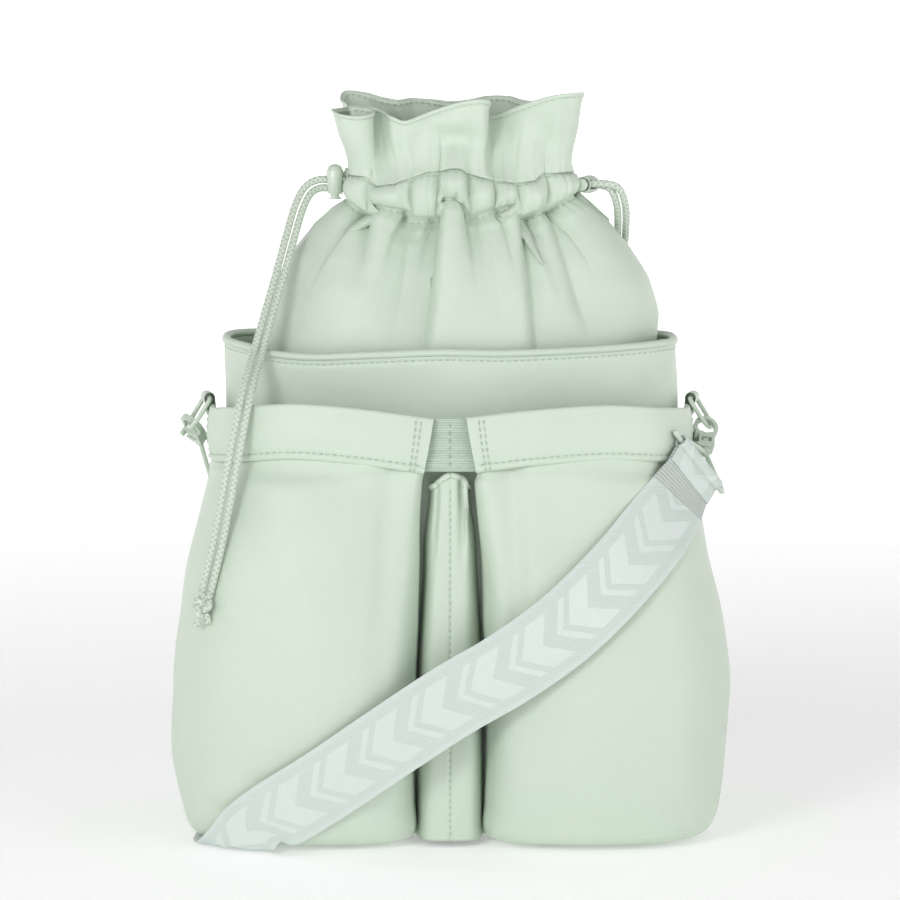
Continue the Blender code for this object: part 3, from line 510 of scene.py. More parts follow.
def stitches(name, paths, lift=0.05 * MM):
    """Thread stitches along paths of (points, normals): short rounded bars, half sunk in the leather."""
    points, faces = [], []
    for path, normals in paths:
        reach = reach_along(path)
        count = int(reach[-1] / STITCH_PITCH)
        for i in range(count):
            start = (i + 0.5) * reach[-1] / count - STITCH_LENGTH / 2
            for share, size, rise in STITCH_PROFILE:
                place = start + share * STITCH_LENGTH
                here = np.array([np.interp(place, reach, path[:, k]) for k in range(3)])
                ahead = np.array([np.interp(place + 0.4 * MM, reach, path[:, k]) for k in range(3)]) - here
                normal = unit(np.array([np.interp(place, reach, normals[:, k]) for k in range(3)]))
                if np.linalg.norm(ahead) < 1e-7:
                    ahead = path[-1] - path[-2]
                side = unit(np.cross(ahead, normal))
                centre = here + normal * (lift + rise * STITCH_RADIUS)
                base = len(points)
                for k in range(STITCH_SIDES):
                    angle = 2 * math.pi * k / STITCH_SIDES
                    out = side * math.cos(angle) + normal * math.sin(angle)
                    points.append(centre + out * STITCH_RADIUS * size)
                if share > 0:
                    last = base - STITCH_SIDES
                    for k in range(STITCH_SIDES):
                        m = (k + 1) % STITCH_SIDES
                        faces.append((last + k, last + m, base + m, base + k))
    clean(make_mesh(name, points, faces, STITCH), merge=1e-9)


def superellipse(half_width, half_depth, angle, squareness, centre_x=0.0):
    c, s = np.cos(angle), np.sin(angle)
    power = 2 / squareness
    x = half_width * np.sign(c) * np.abs(c) ** power
    y = half_depth * np.sign(s) * np.abs(s) ** power
    return centre_x + x, y


def even_angles(half_width, half_depth, squareness, count):
    """Angles that space a superellipse evenly, starting at -X and running round the front."""
    angles = math.pi + np.linspace(0, 2 * math.pi, 2881)
    x, y = superellipse(half_width, half_depth, angles, squareness)
    reach = np.concatenate([[0], np.cumsum(np.hypot(np.diff(x), np.diff(y)))])
    return np.interp(np.linspace(0, reach[-1], count + 1)[:-1], reach, angles)


def ease(value, low, high):
    t = np.clip((value - low) / (high - low), 0, 1)
    return t * t * (3 - 2 * t)


# ------------------------------------------------------------------- cords

ROUTE_LEFT = (
    (-75, -3, 334), (-79.5, -9, 325), (-84, -19, 309),
    (-89, -31, 290), (-94, -43, 272), (-98.5, -54.5, 255),
    (-102.5, -73, 240), (-106, -83.5, 223),
)
HANG_LEFT = ((-111, -86.4, 197), (-114.5, -87.2, 178), (-118.5, -88.2, 158), (-124.5, -89.8, 133))
ROUTE_RIGHT = (
    (86.5, -6.5, 335), (90, -1, 327), (91, 8, 316), (90.5, 19.5, 303),
    (88, 33, 289), (85, 47, 273), (82.5, 60.5, 257),
    (81.5, 61.5, 235), (81, 60.5, 205), (80.5, 60.5, 180), (80, 61, 160),
)
STRAND_APART = 2.2 * MM
CORD_TAIL_AT, CORD_TAIL_RADII = (0, 0.6, 0.85, 1), (1.9, 1.9, 2.2, 1.5)  # frayed a little at the end
STRAND_SLACK = 0.97  # strands are drawn this share of the cord's radius, so the lock's barrel clears them
CASING_EXIT = 61.2 * MM
CORD_Z = 337.5 * MM


def lock_frame(side):
    """Where the strands leave the casing, their direction through the lock, and their stacking direction."""
    if side > 0:
        turn = math.radians(25)
        through = np.array((math.cos(turn), -math.sin(turn), 0))
        stack = np.array((-math.sin(turn), -math.cos(turn), 0))
    else:
        through = np.array((-1.0, 0, 0))
        stack = np.array((0, 0, -1.0))
    return np.array((NECK_X + side * CASING_EXIT, 0, CORD_Z)), through, stack


def strand_paths(side):
    """Centre lines of the two free strands on one side: one route, with a strand on each side of it."""
    exit_point, through, stack = lock_frame(side)
    route = [exit_point, exit_point + through * 7 * MM, exit_point + through * 14 * MM]
    route += [np.array(p) * MM for p in (ROUTE_RIGHT if side > 0 else ROUTE_LEFT + HANG_LEFT)]
    base = smooth_path(route, 8)
    along = unit(np.gradient(base, axis=0))
    share = np.clip(np.linspace(-0.1, 2.2, len(base)), 0, 1)[:, None]
    start_normal = np.cross(stack, through)
    hang_normal = np.array((0, 1.0, 0)) * (1 if side > 0 else math.copysign(1, start_normal[1]))
    facing = start_normal * (1 - share) + hang_normal * share
    sign = 1.0 if np.dot(np.cross(through, start_normal), stack) > 0 else -1.0
    aside = unit(np.cross(sign * along, facing))
    sway = np.sin(np.linspace(0, 9, len(base)))[:, None] * 0.12 * MM * share
    return base + aside * (STRAND_APART + sway), base - aside * (STRAND_APART + sway)


def knot_path(centre, size):
    """A tight overhand knot: a trefoil, a little flattened."""
    t = np.linspace(0, 2 * math.pi, 90, endpoint=False)
    x = np.sin(t) + 2 * np.sin(2 * t)
    y = -np.sin(3 * t)
    z = np.cos(t) - 2 * np.cos(2 * t)
    shape = np.stack([x * 1.15, y * 1.7, z * 1.35], axis=1) / 3
    return np.array(centre) + shape * size


def build_cords():
    for side, word in SIDES:
        centre = np.mean(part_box(f"cord_knot_{word}"), axis=0)
        knot = tube(f"knot_{word}", knot_path(centre, 3.6 * MM), CORD_RADIUS * 0.95, BRAID, closed=True)
        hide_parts(f"cord_knot_{word}")
        for index, (dx, dy) in enumerate(((-1.6, -0.6), (1.7, 0.4))):
            start = centre + np.array((dx, dy, -3.5)) * MM
            end = start + np.array((dx * 0.9, dy, -6.5 + index)) * MM
            path = smooth_path([start, (start + end) / 2 + np.array((0.3, 0.2, 0)) * MM, end], 8)
            radii = np.interp(np.linspace(0, 1, len(path)), CORD_TAIL_AT, CORD_TAIL_RADII) * MM
            tube(f"cord_tail_{word}_{index}", path, CORD_RADIUS, BRAID, radii=radii)
        lines = [world(path) for path in strand_paths(side)]
        for index, line in enumerate(lines):
            lean = np.array((0.8 if index else -0.8, 0, 0)) * MM
            neck = [line[-4], line[-1], (line[-1] + centre) / 2 + lean, centre + lean]
            tube(f"cord_neck_{word}_{index}", smooth_path(neck, 8)[8:], CORD_RADIUS, BRAID)
        for line, letter in zip(lines, "ab"):
            strand = tube(f"strand_{word}_{letter}", line, CORD_RADIUS * STRAND_SLACK, BRAID)
            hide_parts(f"cord_strand_{word}_{letter}")
        # The part of the draw cord inside the casing, seen where it comes out.
        hidden = frame["nodes"][f"drawcord_{word}"]
        hidden.data.materials.clear()
        hidden.data.materials.append(BRAID)


build_cords()


# ----------------------------------------------------- gathered upper pouch

POUCH_LOW_Z, POUCH_HIGH_Z = 243 * MM, 327 * MM
# Height, half width and half depth of the pouch, in millimetres
POUCH_ROWS = np.array(
    (
        (243, 110, 55), (252, 106, 52), (268, 101, 49.5), (285, 95, 46),
        (300, 87, 42), (314, 77, 37), (322, 68, 33),
        (327, 62, 30),
    )
) * MM
# The casing's two seams on the front, as x and height
LOWER_SEAM_FRONT = (
    (-62, 335), (-60, 333), (-45, 322), (-42, 327.5), (-23, 324.5),
    (-19, 320.5), (-8, 320.5), (-4, 331), (4, 330.5),
    (11, 322), (35, 328), (38.5, 321), (50, 325), (54, 326), (70, 334), (74, 335),
)
UPPER_SEAM_FRONT = (
    (-62, 343), (-46, 342), (-40, 337), (-30, 338), (-24, 341), (-12, 345), (4, 346), (16, 342), (34, 339),
    (46, 340), (50, 344), (74, 344),
)
# Long folds below the casing: x at the casing, x at the rim, depth, width to the left and to the right, and
# the height where the fold fades
FRONT_FOLDS = (
    (-44, -50, 6.5, 9, 6, 292), (-21, -30, 4.6, 10, 14, 262),
    (-5.5, -15, 10.5, 22, 3.0, 236), (37, 46, 10.0, 3.0, 20, 236),
    (53, 76, 5.6, 6, 12, 258), (12, 14, 2.2, 9, 9, 298),
    (20, 28, 2.0, 16, 12, 262), (-70, -86, 3.2, 9, 14, 262),
)
BACK_FOLDS = (
    (-46, -70, 4.5, 8, 10, 250), (-28, -38, 5.5, 9, 6, 236),
    (-8, -12, 4.0, 10, 8, 262), (10, 18, 6.0, 6, 11, 236),
    (30, 44, 4.5, 9, 7, 246), (52, 78, 4.0, 8, 10, 258),
)
# Puffs of the casing: their edges along x on the front, and how far each one stands out
FRONT_PUFF_EDGES = (-60, -44, -21, -6, 10, 24, 36.5, 52, 72)
FRONT_PUFF_HEIGHTS = (0.75, 0.95, 0.75, 1.3, 0.9, 0.75, 0.95, 0.85)
BACK_PUFFS = 11


def puff_cells(share, base_x):
    """Edges of the puffs by share of the way round, and each one's height."""
    half = len(share) // 2
    front = np.interp(np.array(FRONT_PUFF_EDGES[1:-1]) * MM, base_x[:half], share[:half])
    random = np.random.default_rng(5)
    back = np.cumsum(random.uniform(0.6, 1.4, BACK_PUFFS))
    edges = np.concatenate([[0], front, [0.5], 0.5 + 0.5 * back / back[-1]])
    return edges, np.concatenate([FRONT_PUFF_HEIGHTS, random.uniform(0.7, 1.15, BACK_PUFFS)])


def gather_profile(share, edges, heights, sharp=0.55):
    """Round puffs with sharp valleys between them, at each share of the way round."""
    cell = np.clip(np.searchsorted(edges, share, side="right") - 1, 0, len(heights) - 1)
    local = (share - edges[cell]) / (edges[cell + 1] - edges[cell])
    return np.sin(np.pi * np.clip(local, 0, 1)) ** sharp * heights[cell]


def long_folds(x, z, folds):
    """Inward push of the long folds, with a sharp valley line and rounded shoulders."""
    push = np.zeros_like(x)
    for top, low, depth, left, right, fade in folds:
        share = np.clip((POUCH_HIGH_Z - z) / (75 * MM), 0, 1)
        line = (top + (low - top) * share) * MM
        gap = x - line
        width = np.where(gap < 0, left, right) * MM * (0.6 + 0.8 * share)
        strength = depth * MM * (0.5 + 0.5 * ease(z, 245 * MM, 290 * MM))
        if fade > 236:
            strength = 1.25 * depth * MM * ease(z, (fade - 14) * MM, (fade + 26) * MM)
        shoulder = np.cos(np.clip(np.abs(gap) / (width * 2.2), 0, 1) * math.pi / 2)
        push += strength * np.exp(-((np.abs(gap) / width) ** 1.15)) * shoulder
    return push


def seam_height(x, front, table, level):
    points = np.array(table) * MM
    wavy = np.interp(x, points[:, 0], points[:, 1])
    ripple = 2.5 * MM * np.sin(x / (11 * MM)) + 1.5 * MM * np.sin(x / (5 * MM))
    return np.where(front, wavy, level + ripple)


def gathered_surface():
    """Grid of the pouch and casing, from inside the bucket up to the ruffle's base, with its seam rows."""
    columns = 560
    angles = even_angles(62 * MM, 32 * MM, NECK_SQUARENESS, columns)
    share = np.arange(columns) / columns
    base_x, base_y = superellipse(62 * MM, 32 * MM, angles, NECK_SQUARENESS, NECK_X)
    edges, heights = puff_cells(share, base_x)
    fine = gather_profile(share, edges, heights)
    small = np.concatenate([[0], np.sort(np.random.default_rng(8).uniform(0, 1, 34)), [1]])
    finer = gather_profile(share, small, np.full(len(small) - 1, 0.9), 0.8)
    front = base_y < 0
    low = seam_height(base_x, front, LOWER_SEAM_FRONT, 326 * MM)
    high = seam_height(base_x, front, UPPER_SEAM_FRONT, 343 * MM)
    rows, marks = [], {}
    below = np.concatenate([np.linspace(0, 0.86, 46), np.linspace(0.875, 1.0, 12)])
    for t in below:
        z = POUCH_LOW_Z + (low - POUCH_LOW_Z) * t
        flat = POUCH_LOW_Z + (POUCH_HIGH_Z - POUCH_LOW_Z) * t
        width = np.interp(flat, POUCH_ROWS[:, 0], POUCH_ROWS[:, 1])
        depth = np.interp(flat, POUCH_ROWS[:, 0], POUCH_ROWS[:, 2])
        centre = NECK_X * min(1, t * 84 / 25)
        x, y = superellipse(width, depth, angles, 2.3 - 0.15 * t, centre)
        fold = np.where(front, long_folds(x, z, FRONT_FOLDS), long_folds(x, z, BACK_FOLDS))
        side = np.clip(np.abs(np.sin(angles)) * 2.2, 0, 1)
        swell = 3.8 * MM * math.sin(math.pi * min(t * 1.12, 1))
        gathers = (fine - 0.6) * 5.6 * MM * ease(t, 0.5, 1.0) + (finer - 0.6) * 0.9 * MM * ease(t, 0.88, 1.0)
        pinch = 1.5 * MM * ease(t, 0.93, 1.0)
        reach = swell + gathers - fold * side - pinch
        rows.append((x, y, z, reach))
    marks["lower"] = len(rows) - 1
    for t in np.linspace(0.05, 1.0, 22):
        z = low + (high - low) * t
        bulge = math.sin(math.pi * t) ** 0.75
        half_width, half_depth = 59.5 * MM + 2.8 * MM * bulge, 28.5 * MM + 3.6 * MM * bulge
        x, y = superellipse(half_width, half_depth, angles, NECK_SQUARENESS, NECK_X)
        puff = (fine - 0.55) * (3.0 + 5.6 * bulge) * MM + (finer - 0.6) * 0.7 * MM + 0.5 * MM * bulge
        rows.append((x, y, z + (fine - 0.7) * 1.2 * MM * bulge, puff))
    marks["upper"] = len(rows) - 1
    grid = np.array([np.stack([x, y, z], axis=1) for x, y, z, _ in rows])
    reach = np.array([r for _, _, _, r in rows])
    flat_normal = grid_normals(grid)
    flat_normal[:, :, 2] *= 0.3
    flat_normal = unit(flat_normal)
    grid = grid + flat_normal * reach[:, :, None]
    soft = noise_at(grid, 28, 3.1) * 1.1 * MM + noise_at(grid, 70, 9.7) * 0.35 * MM
    fade = np.concatenate([np.ones(marks["lower"]), np.full(len(rows) - marks["lower"], 0.5)])[:, None]
    return grid + flat_normal * (soft * fade)[:, :, None], marks


def seam_groove(grid, row, depth=0.5 * MM):
    normal = grid_normals(grid)
    for step, share in ((-1, 0.4), (0, 1.0), (1, 0.4)):
        if 0 <= row + step < len(grid):
            grid[row + step] -= normal[row + step] * depth * share
    return grid


def row_stitches(name, grid, row, **words):
    stitches(name, [(world(grid[row]), grid_normals(grid)[row])], **words)


pouch_grid, pouch_marks = gathered_surface()
for mark in pouch_marks.values():
    pouch_grid = seam_groove(pouch_grid, min(mark, len(pouch_grid) - 2))
pouch = grid_mesh("pouch_skin", pouch_grid, LEATHER, closed=True, thickness=1.2 * MM, inside=LEATHER_BACK)
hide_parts("pouch_front_panel", "pouch_back_panel", "casing_front", "casing_back")
row_stitches("casing_lower_stitches", pouch_grid, pouch_marks["lower"] - 1)
row_stitches("casing_upper_stitches", pouch_grid, pouch_marks["upper"] - 2)

# ------------------------------------------------------------------- ruffle

# The ruffle's hem, from the left side round the front: plan and height in millimetres, and the share of
# the way round the casing's top at which that part of the ruffle starts.
HEM = (
    (-53, 8, 378, -0.03), (-58, -2, 377, 0.0), (-61, -10, 377, 0.02), (-56, -18, 374.5, 0.04),
    (-47, -19.5, 373.5, 0.06), (-41, -15, 375, 0.072), (-41.5, -10.5, 377, 0.08), (-47, -8.5, 378, 0.087),
    (-52, -9, 378.3, 0.093), (-53, -5.5, 378.6, 0.1), (-46, -3.5, 378, 0.108), (-38, -5, 377, 0.118),
    (-33.5, -11, 375.5, 0.13), (-30.5, -18, 373.5, 0.142), (-25, -20, 371, 0.155), (-19, -20.5, 372, 0.172),
    (-8, -26, 376.5, 0.205), (4, -30, 380.5, 0.24), (14, -32, 382.5, 0.272), (19, -29, 382, 0.285),
    (20, -20, 380, 0.292), (17, -11, 376, 0.298), (20, -7, 373.5, 0.306),
    (28, -11, 375, 0.325), (40, -19, 380, 0.36),
    (54, -26, 384.5, 0.40), (65, -25, 386, 0.44), (69, -17, 385.5, 0.462),
    (66, -8, 382, 0.48), (63, 1, 379, 0.5),
    (64, 10, 379, 0.525), (57, 17, 380, 0.55), (47, 14, 380, 0.575),
    (38, 18, 381, 0.60), (30, 25, 383, 0.63),
    (19, 22, 383, 0.665), (10, 15, 381, 0.69), (0, 19, 380, 0.72),
    (-10, 26, 381, 0.755), (-20, 24, 382, 0.79),
    (-28, 17, 381, 0.82), (-37, 19, 382.5, 0.85), (-46, 24, 385, 0.885),
    (-55, 22, 386, 0.92), (-57, 14, 382, 0.95),
)
HEM_STITCH_ROW = -5
# Dents in the flaps: x, height, width, height of the dent, depth
RUFFLE_DENTS = (
    (3, 363, 13, 8, 5.0), (-6, 371, 9, 4, -2.0), (49, 362, 8, 12, 3.6),
    (30, 358, 6, 12, 3.2), (62, 366, 4, 14, 2.0),
    (-36, 360, 3.5, 16, 3.4), (-24, 356, 5, 12, 2.8),
)


def build_ruffle():
    columns = 620
    hem = np.array(HEM)
    hem[:, :3] *= MM
    once_round = np.array((0, 0, 0, 1))
    looped = np.concatenate([hem[-1:] - once_round, hem, hem[:2] + once_round])
    curve = resample(smooth_path(looped, 12)[12:-12], columns + 1)[:-1]
    share = np.mod(curve[:, 3], 1)
    top = pouch_grid[-1]
    ring = np.concatenate([top, top[:1]])
    places = np.arange(len(ring))
    base = np.stack([np.interp(share * len(top), places, ring[:, k]) for k in range(3)], axis=1)
    levels = np.concatenate([np.linspace(0, 0.9, 34), [0.915, 0.93, 0.945, 0.96, 0.975, 0.99, 1.0]])
    rows = []
    centre = np.array((NECK_X, 0, 0))
    for t in levels:
        blend = t**0.9
        row = base * (1 - blend) + curve[:, :3] * blend
        row[:, 2] = base[:, 2] * (1 - t) + curve[:, 2] * t
        out = row - centre
        out[:, 2] = 0
        out = unit(out)
        waist = -2.6 * MM * math.sin(math.pi * min(t * 1.6, 1)) * (1 - t)
        rows.append(row + out * waist)
    grid = np.array(rows)
    x, y, z = grid[:, :, 0], grid[:, :, 1], grid[:, :, 2]
    for dent_x, dent_z, wide, tall, depth in RUFFLE_DENTS:
        dent = bell(x - dent_x * MM, wide * MM) * bell(z - dent_z * MM, tall * MM) * (y < -2 * MM)
        grid[:, :, 1] += dent * depth * MM
    normal = grid_normals(grid)
    dents = noise_at(grid, 42, 4.4) * 2.0 * MM * np.sin(np.pi * np.clip(levels, 0, 1))[:, None]
    grid = grid + normal * dents[:, :, None]
    normal = grid_normals(grid)
    for row, rise in ((-1, 0.5), (-2, 0.75), (-3, 0.6), (-4, 0.35), (-5, -0.35)):
        grid[row] += normal[row] * rise * MM
    return grid


ruffle_grid = build_ruffle()
ruffle = grid_mesh("ruffle_skin", ruffle_grid, LEATHER, closed=True)
thicken(ruffle, 1.3 * MM, 0)
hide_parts("ruffle_front", "ruffle_back")
for name, sign in (("hem_stitches", 1), ("hem_stitches_inside", -1)):
    normal = sign * grid_normals(ruffle_grid)[HEM_STITCH_ROW]
    stitches(name, [(world(ruffle_grid[HEM_STITCH_ROW]), normal)], lift=0.6 * MM)


# ------------------------------------------------------------- bucket body

# Height of the bucket's rim along x
RIM_FRONT = (
    (-119, 257.4), (-104, 255), (-95, 252.6), (-72, 251), (-46, 252.1),
    (-5, 253.8), (26, 253.3), (66, 254.6),
    (108, 256.5), (119, 256.6),
)
RIM_BACK = ((-119, 257.4), (-90, 256), (-40, 254.5), (10, 255.5), (60, 254), (119, 256.6))


# The bucket's rounded foot: height, and how far it is tucked in
BUCKET_FOOT = ((4.6, 60), (4.6, 30), (4.7, 14), (5.4, 7), (7.5, 3.2), (11, 1.0), (16, 0))


def bucket_grid(inset=0.0, rows=34, columns=480, inner=False):
    angles = even_angles(BODY_HALF_WIDTH, BODY_HALF_DEPTH, BODY_SQUARENESS, columns)
    base_x, base_y = superellipse(BODY_HALF_WIDTH, BODY_HALF_DEPTH, angles, BODY_SQUARENESS)
    smooth_front, smooth_back = (smooth_path(np.array(t) * MM, 8) for t in (RIM_FRONT, RIM_BACK))
    top = np.where(
        base_y < 0,
        np.interp(base_x, smooth_front[:, 0], smooth_front[:, 1]),
        np.interp(base_x, smooth_back[:, 0], smooth_back[:, 1]),
    )
    grid = []
    for z, tuck in BUCKET_FOOT:
        half_width = BODY_HALF_WIDTH - tuck * MM - inset
        half_depth = BODY_HALF_DEPTH - tuck * 0.98 * MM - inset
        x, y = superellipse(half_width, half_depth, angles, BODY_SQUARENESS)
        grid.append(np.stack([x, y, np.full(columns, z * MM)], axis=1))
    x, y = superellipse(BODY_HALF_WIDTH - inset, BODY_HALF_DEPTH - inset, angles, BODY_SQUARENESS)
    foot_top = BUCKET_FOOT[-1][0] * MM
    for t in np.concatenate([np.linspace(0.04, 0.955, rows), [0.966, 0.974, 0.981, 0.986, 0.991, 0.996, 1.0]]):
        z = foot_top + (top - 2.0 * MM - foot_top) * t
        grid.append(np.stack([x, y, z], axis=1))
    grid = np.array(grid)
    if inner:
        return grid
    normal = grid_normals(grid)
    x, y, z = grid[:, :, 0], grid[:, :, 1], grid[:, :, 2]
    middle = np.clip(1.25 - (np.abs(x) / (92 * MM)) ** 2, 0, 1)
    sag = 3.0 * MM * bell(z - 226 * MM, 15 * MM) * (y < 0) * middle
    facets = 2.6 * MM * bell(np.abs(x) - 103 * MM, 8 * MM) * bell(z - 232 * MM, 9 * MM) * (y < 0)
    slump = (2.0 * MM * bell(z - 60 * MM, 40 * MM) - 1.8 * MM * bell(z - 160 * MM, 50 * MM)) * (y > 0)
    buckles = noise_at(grid, 16, 1.7) * 1.6 * MM + noise_at(grid, 42, 6.3) * 0.5 * MM
    fade = ease(z, 8 * MM, 40 * MM) * (1 - ease(z, 238 * MM, 250 * MM))
    rib = np.zeros(len(grid))
    rib[-4:-1] = (-0.2, -0.5, -0.1)
    seam = 0.5 * MM * bell(y, 1.0 * MM) * (np.abs(x) > 60 * MM)
    push = (slump + buckles) * fade - sag - facets - seam + rib[:, None] * MM
    return grid + normal * push[:, :, None]


bucket_outer = bucket_grid()
bucket = grid_mesh("bucket_skin", bucket_outer, LEATHER, closed=True, thickness=1.6 * MM, inside=LINING)
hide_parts("bucket_front_panel", "bucket_back_panel")
row_stitches("rim_stitches", bucket_outer, len(bucket_outer) - 3)

rim_line = bucket_outer[-1] + np.array((0, 0, 1.4 * MM)) - grid_normals(bucket_outer)[-1] * 0.9 * MM
rim_line = world(resample(rim_line, 360, closed=True))
rim = tube("rim_roll", rim_line, 2.1 * MM, LEATHER, slot="leather", closed=True, sides=14)
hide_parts("rim_piping")

lining_grid = bucket_grid(inset=6.0 * MM, rows=10, columns=160, inner=True)[:-7]
lining_grid[:, :, 2] = np.minimum(lining_grid[:, :, 2] + 1.2 * MM, 240 * MM)
cloth = {"slot": "lining", "thickness": 0.8 * MM}
lining_skin = grid_mesh("lining_skin", lining_grid, LINING, closed=True, **cloth)
floor_ring = world(lining_grid[0])
floor_points = [tuple(p) for p in floor_ring] + [tuple(floor_ring.mean(axis=0))]
floor_faces = [(i, (i + 1) % len(floor_ring), len(floor_ring)) for i in range(len(floor_ring))]
make_mesh("lining_floor", floor_points, floor_faces, LINING, **cloth)
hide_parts("lining")


# The base board's rounded edge: how far it is tucked in, and height
BASE_EDGE = (
    (60, 0.25), (5, 0.25), (2.4, 0.05), (0.9, 0.5), (0.1, 1.3),
    (0, 2.2), (0.2, 3.4), (1.2, 4.0), (40, 4.0),
)


def build_base():
    """The stiff base panel: a rounded board with a rounded edge; the stitching of the real edge is not drawn.
    """
    columns = 240
    angles = even_angles(92 * MM, 52 * MM, BODY_SQUARENESS, columns)
    rows = []
    for tuck, z in BASE_EDGE:
        x, y = superellipse((92 - tuck) * MM, max(52 - tuck, 4) * MM, angles, BODY_SQUARENESS)
        rows.append(np.stack([x, y, np.full(columns, z * MM)], axis=1))
    grid = np.array(rows)
    count = len(rows) * columns
    faces = grid_faces(len(rows), columns, closed=True)
    faces.append(tuple(range(columns))[::-1])
    faces.append(tuple(range(count - columns, count)))
    base = make_mesh("base_board", world(grid).reshape(-1, 3), faces, LEATHER)
    clean(base, merge=1e-6)
    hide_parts("base_panel")


build_base()


# ---------------------------------------------------------- bottle pockets

POCKET_FOOT = ((17, -64), (18, -80), (33, -95), (75, -101), (114, -92), (133, -68), (134, -38), (126, -14))
POCKET_BULGE = (
    (18, -64), (19.5, -84), (33, -102), (75, -108.5), (119, -98),
    (142, -68), (144, -36), (131, -11),
)
POCKET_MOUTH = (
    (14, -65), (14, -83), (27, -87.5), (70, -88), (105, -76),
    (121, -50), (125.4, -26), (124.5, -6),
)
BAND_OUTLINE = ((11, -87), (30, -88.5), (70, -88.5), (105, -76.5), (121, -50.5), (125.4, -32), (125.6, -20))
POCKET_SEAM = np.array((119.9, -3.2)) * MM  # where the pocket is sewn to the side of the bucket
POCKET_TURN = ((2.9, 26), (2.9, 12), (3.0, 6), (4.0, 3.2), (6.0, 1.4), (9.0, 0.4))  # foot: height, tuck
# Creases near the foot: x, height, run along x, height of the crease, depth
POCKET_CREASES = (
    (36, 26, 16, 3.2, 1.4), (60, 15, 22, 2.6, 1.0), (118, 22, 14, 3.4, 1.5),
    (104, 40, 20, 4, 0.8), (128, 60, 9, 14, 1.0),
)
POCKET_LOW_Z, POCKET_BULGE_Z, POCKET_TOP_Z = 2.8 * MM, 69 * MM, 193.6 * MM
BAND_LOW_Z, BAND_HIGH_Z = 194 * MM, 222 * MM
ARCH_X = np.array((10, 45, 80, 110, 125)) * MM
ARCH_RISE = np.array((0, 4.5, 7, 4.5, 1)) * MM


def arch(x):
    """How far the pockets' top edge stands above its height at the middle of the bag."""
    curve = smooth_path(np.stack([ARCH_X, ARCH_RISE], axis=1), 8)
    return np.interp(np.abs(x), curve[:, 0], curve[:, 1])


def pocket_front(z, count):
    """Plan of the right pocket's outside at a height, from its inner edge round the front to the seam."""
    if z >= POCKET_BULGE_Z:
        share = math.sin(math.pi / 2 * min((POCKET_TOP_Z - z) / (POCKET_TOP_Z - POCKET_BULGE_Z), 1))
        low, high = np.array(POCKET_MOUTH), np.array(POCKET_BULGE)
    else:
        share = 1 - (1 - max(z - POCKET_LOW_Z, 0) / (POCKET_BULGE_Z - POCKET_LOW_Z)) ** 3
        low, high = np.array(POCKET_FOOT), np.array(POCKET_BULGE)
    plan = np.concatenate([(low + (high - low) * share) * MM, [POCKET_SEAM]])
    return resample(smooth_path(plan, 24), count)


def pocket_surface(side, count=230):
    """Grid of a pocket's outside, from under its foot up to the band."""
    seed = 3.0 if side < 0 else 8.0
    rows = []
    centre = np.array((75, -62)) * MM
    for z, tuck in POCKET_TURN:
        line = pocket_front(z * MM, count)
        line = line + unit(centre - line) * tuck * MM
        rows.append(np.column_stack([line, np.full(count, z * MM)]))
    for z in np.linspace(13, 187, 60) * MM:
        rows.append(np.column_stack([pocket_front(z, count), np.full(count, z)]))
    for z in np.linspace(188.5, 197, 8) * MM:
        rows.append(np.column_stack([pocket_front(min(z, POCKET_TOP_Z), count), np.full(count, z)]))
    grid = np.array(rows)
    z = grid[:, :, 2]
    grid[:, :, 2] += arch(grid[:, :, 0]) * np.clip((z - 100 * MM) / (94 * MM), 0, 1)
    normal = grid_normals(grid, closed=False)
    if normal[30, count // 2, 1] > 0:
        normal = -normal
    x = grid[:, :, 0]
    along = np.linspace(0, 1, count)[None, :]
    tuckin = -1.0 * MM * ease(z, 188 * MM, 197 * MM)
    soft = noise_at(grid, 15, seed) * 2.2 * MM + noise_at(grid, 34, seed * 2) * 0.8 * MM
    below = 190 * MM - z
    inner_fold = -3.0 * MM * bell(x - 30 * MM - below * 0.06, 7 * MM) * ease(z, 60 * MM, 150 * MM)
    corner = -2.2 * MM * bell(x - 112 * MM + below * 0.35, 9 * MM) * ease(z, 110 * MM, 180 * MM)
    drape = 1.8 * MM * np.sin(x / (17 * MM) + seed) * ease(z, 130 * MM, 186 * MM)
    drape = drape * (1 - ease(z, 188 * MM, 193 * MM))
    creases = np.zeros_like(z)
    for cx, cz, run, tall, deep in POCKET_CREASES:
        aside = x - cx * MM
        creases -= deep * MM * bell(aside, run * MM) * bell(z - cz * MM - aside * 0.25, tall * MM)
    edge = np.clip(np.minimum(along, 1 - along) * 16, 0, 1)
    push = tuckin + (soft + inner_fold + corner + drape + creases) * edge * ease(z, 3 * MM, 14 * MM)
    grid = grid + normal * push[:, :, None]
    grid[:, :, 0] *= side
    return grid


def oriented(grid, towards):
    """Whether a grid's faces must be flipped so that they point along a direction."""
    normal = grid_normals(grid, closed=False)
    return float((normal * np.array(towards)).sum(axis=2).mean()) < 0


for side, word in SIDES:
    grid = pocket_surface(side)
    flip = oriented(grid, (side * 0.4, -1, 0))
    pocket = grid_mesh(f"pocket_{word}_skin", grid, LEATHER, flip=flip, thickness=1.5 * MM, inside=LEATHER_BACK)
    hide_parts(f"pocket_{word}")


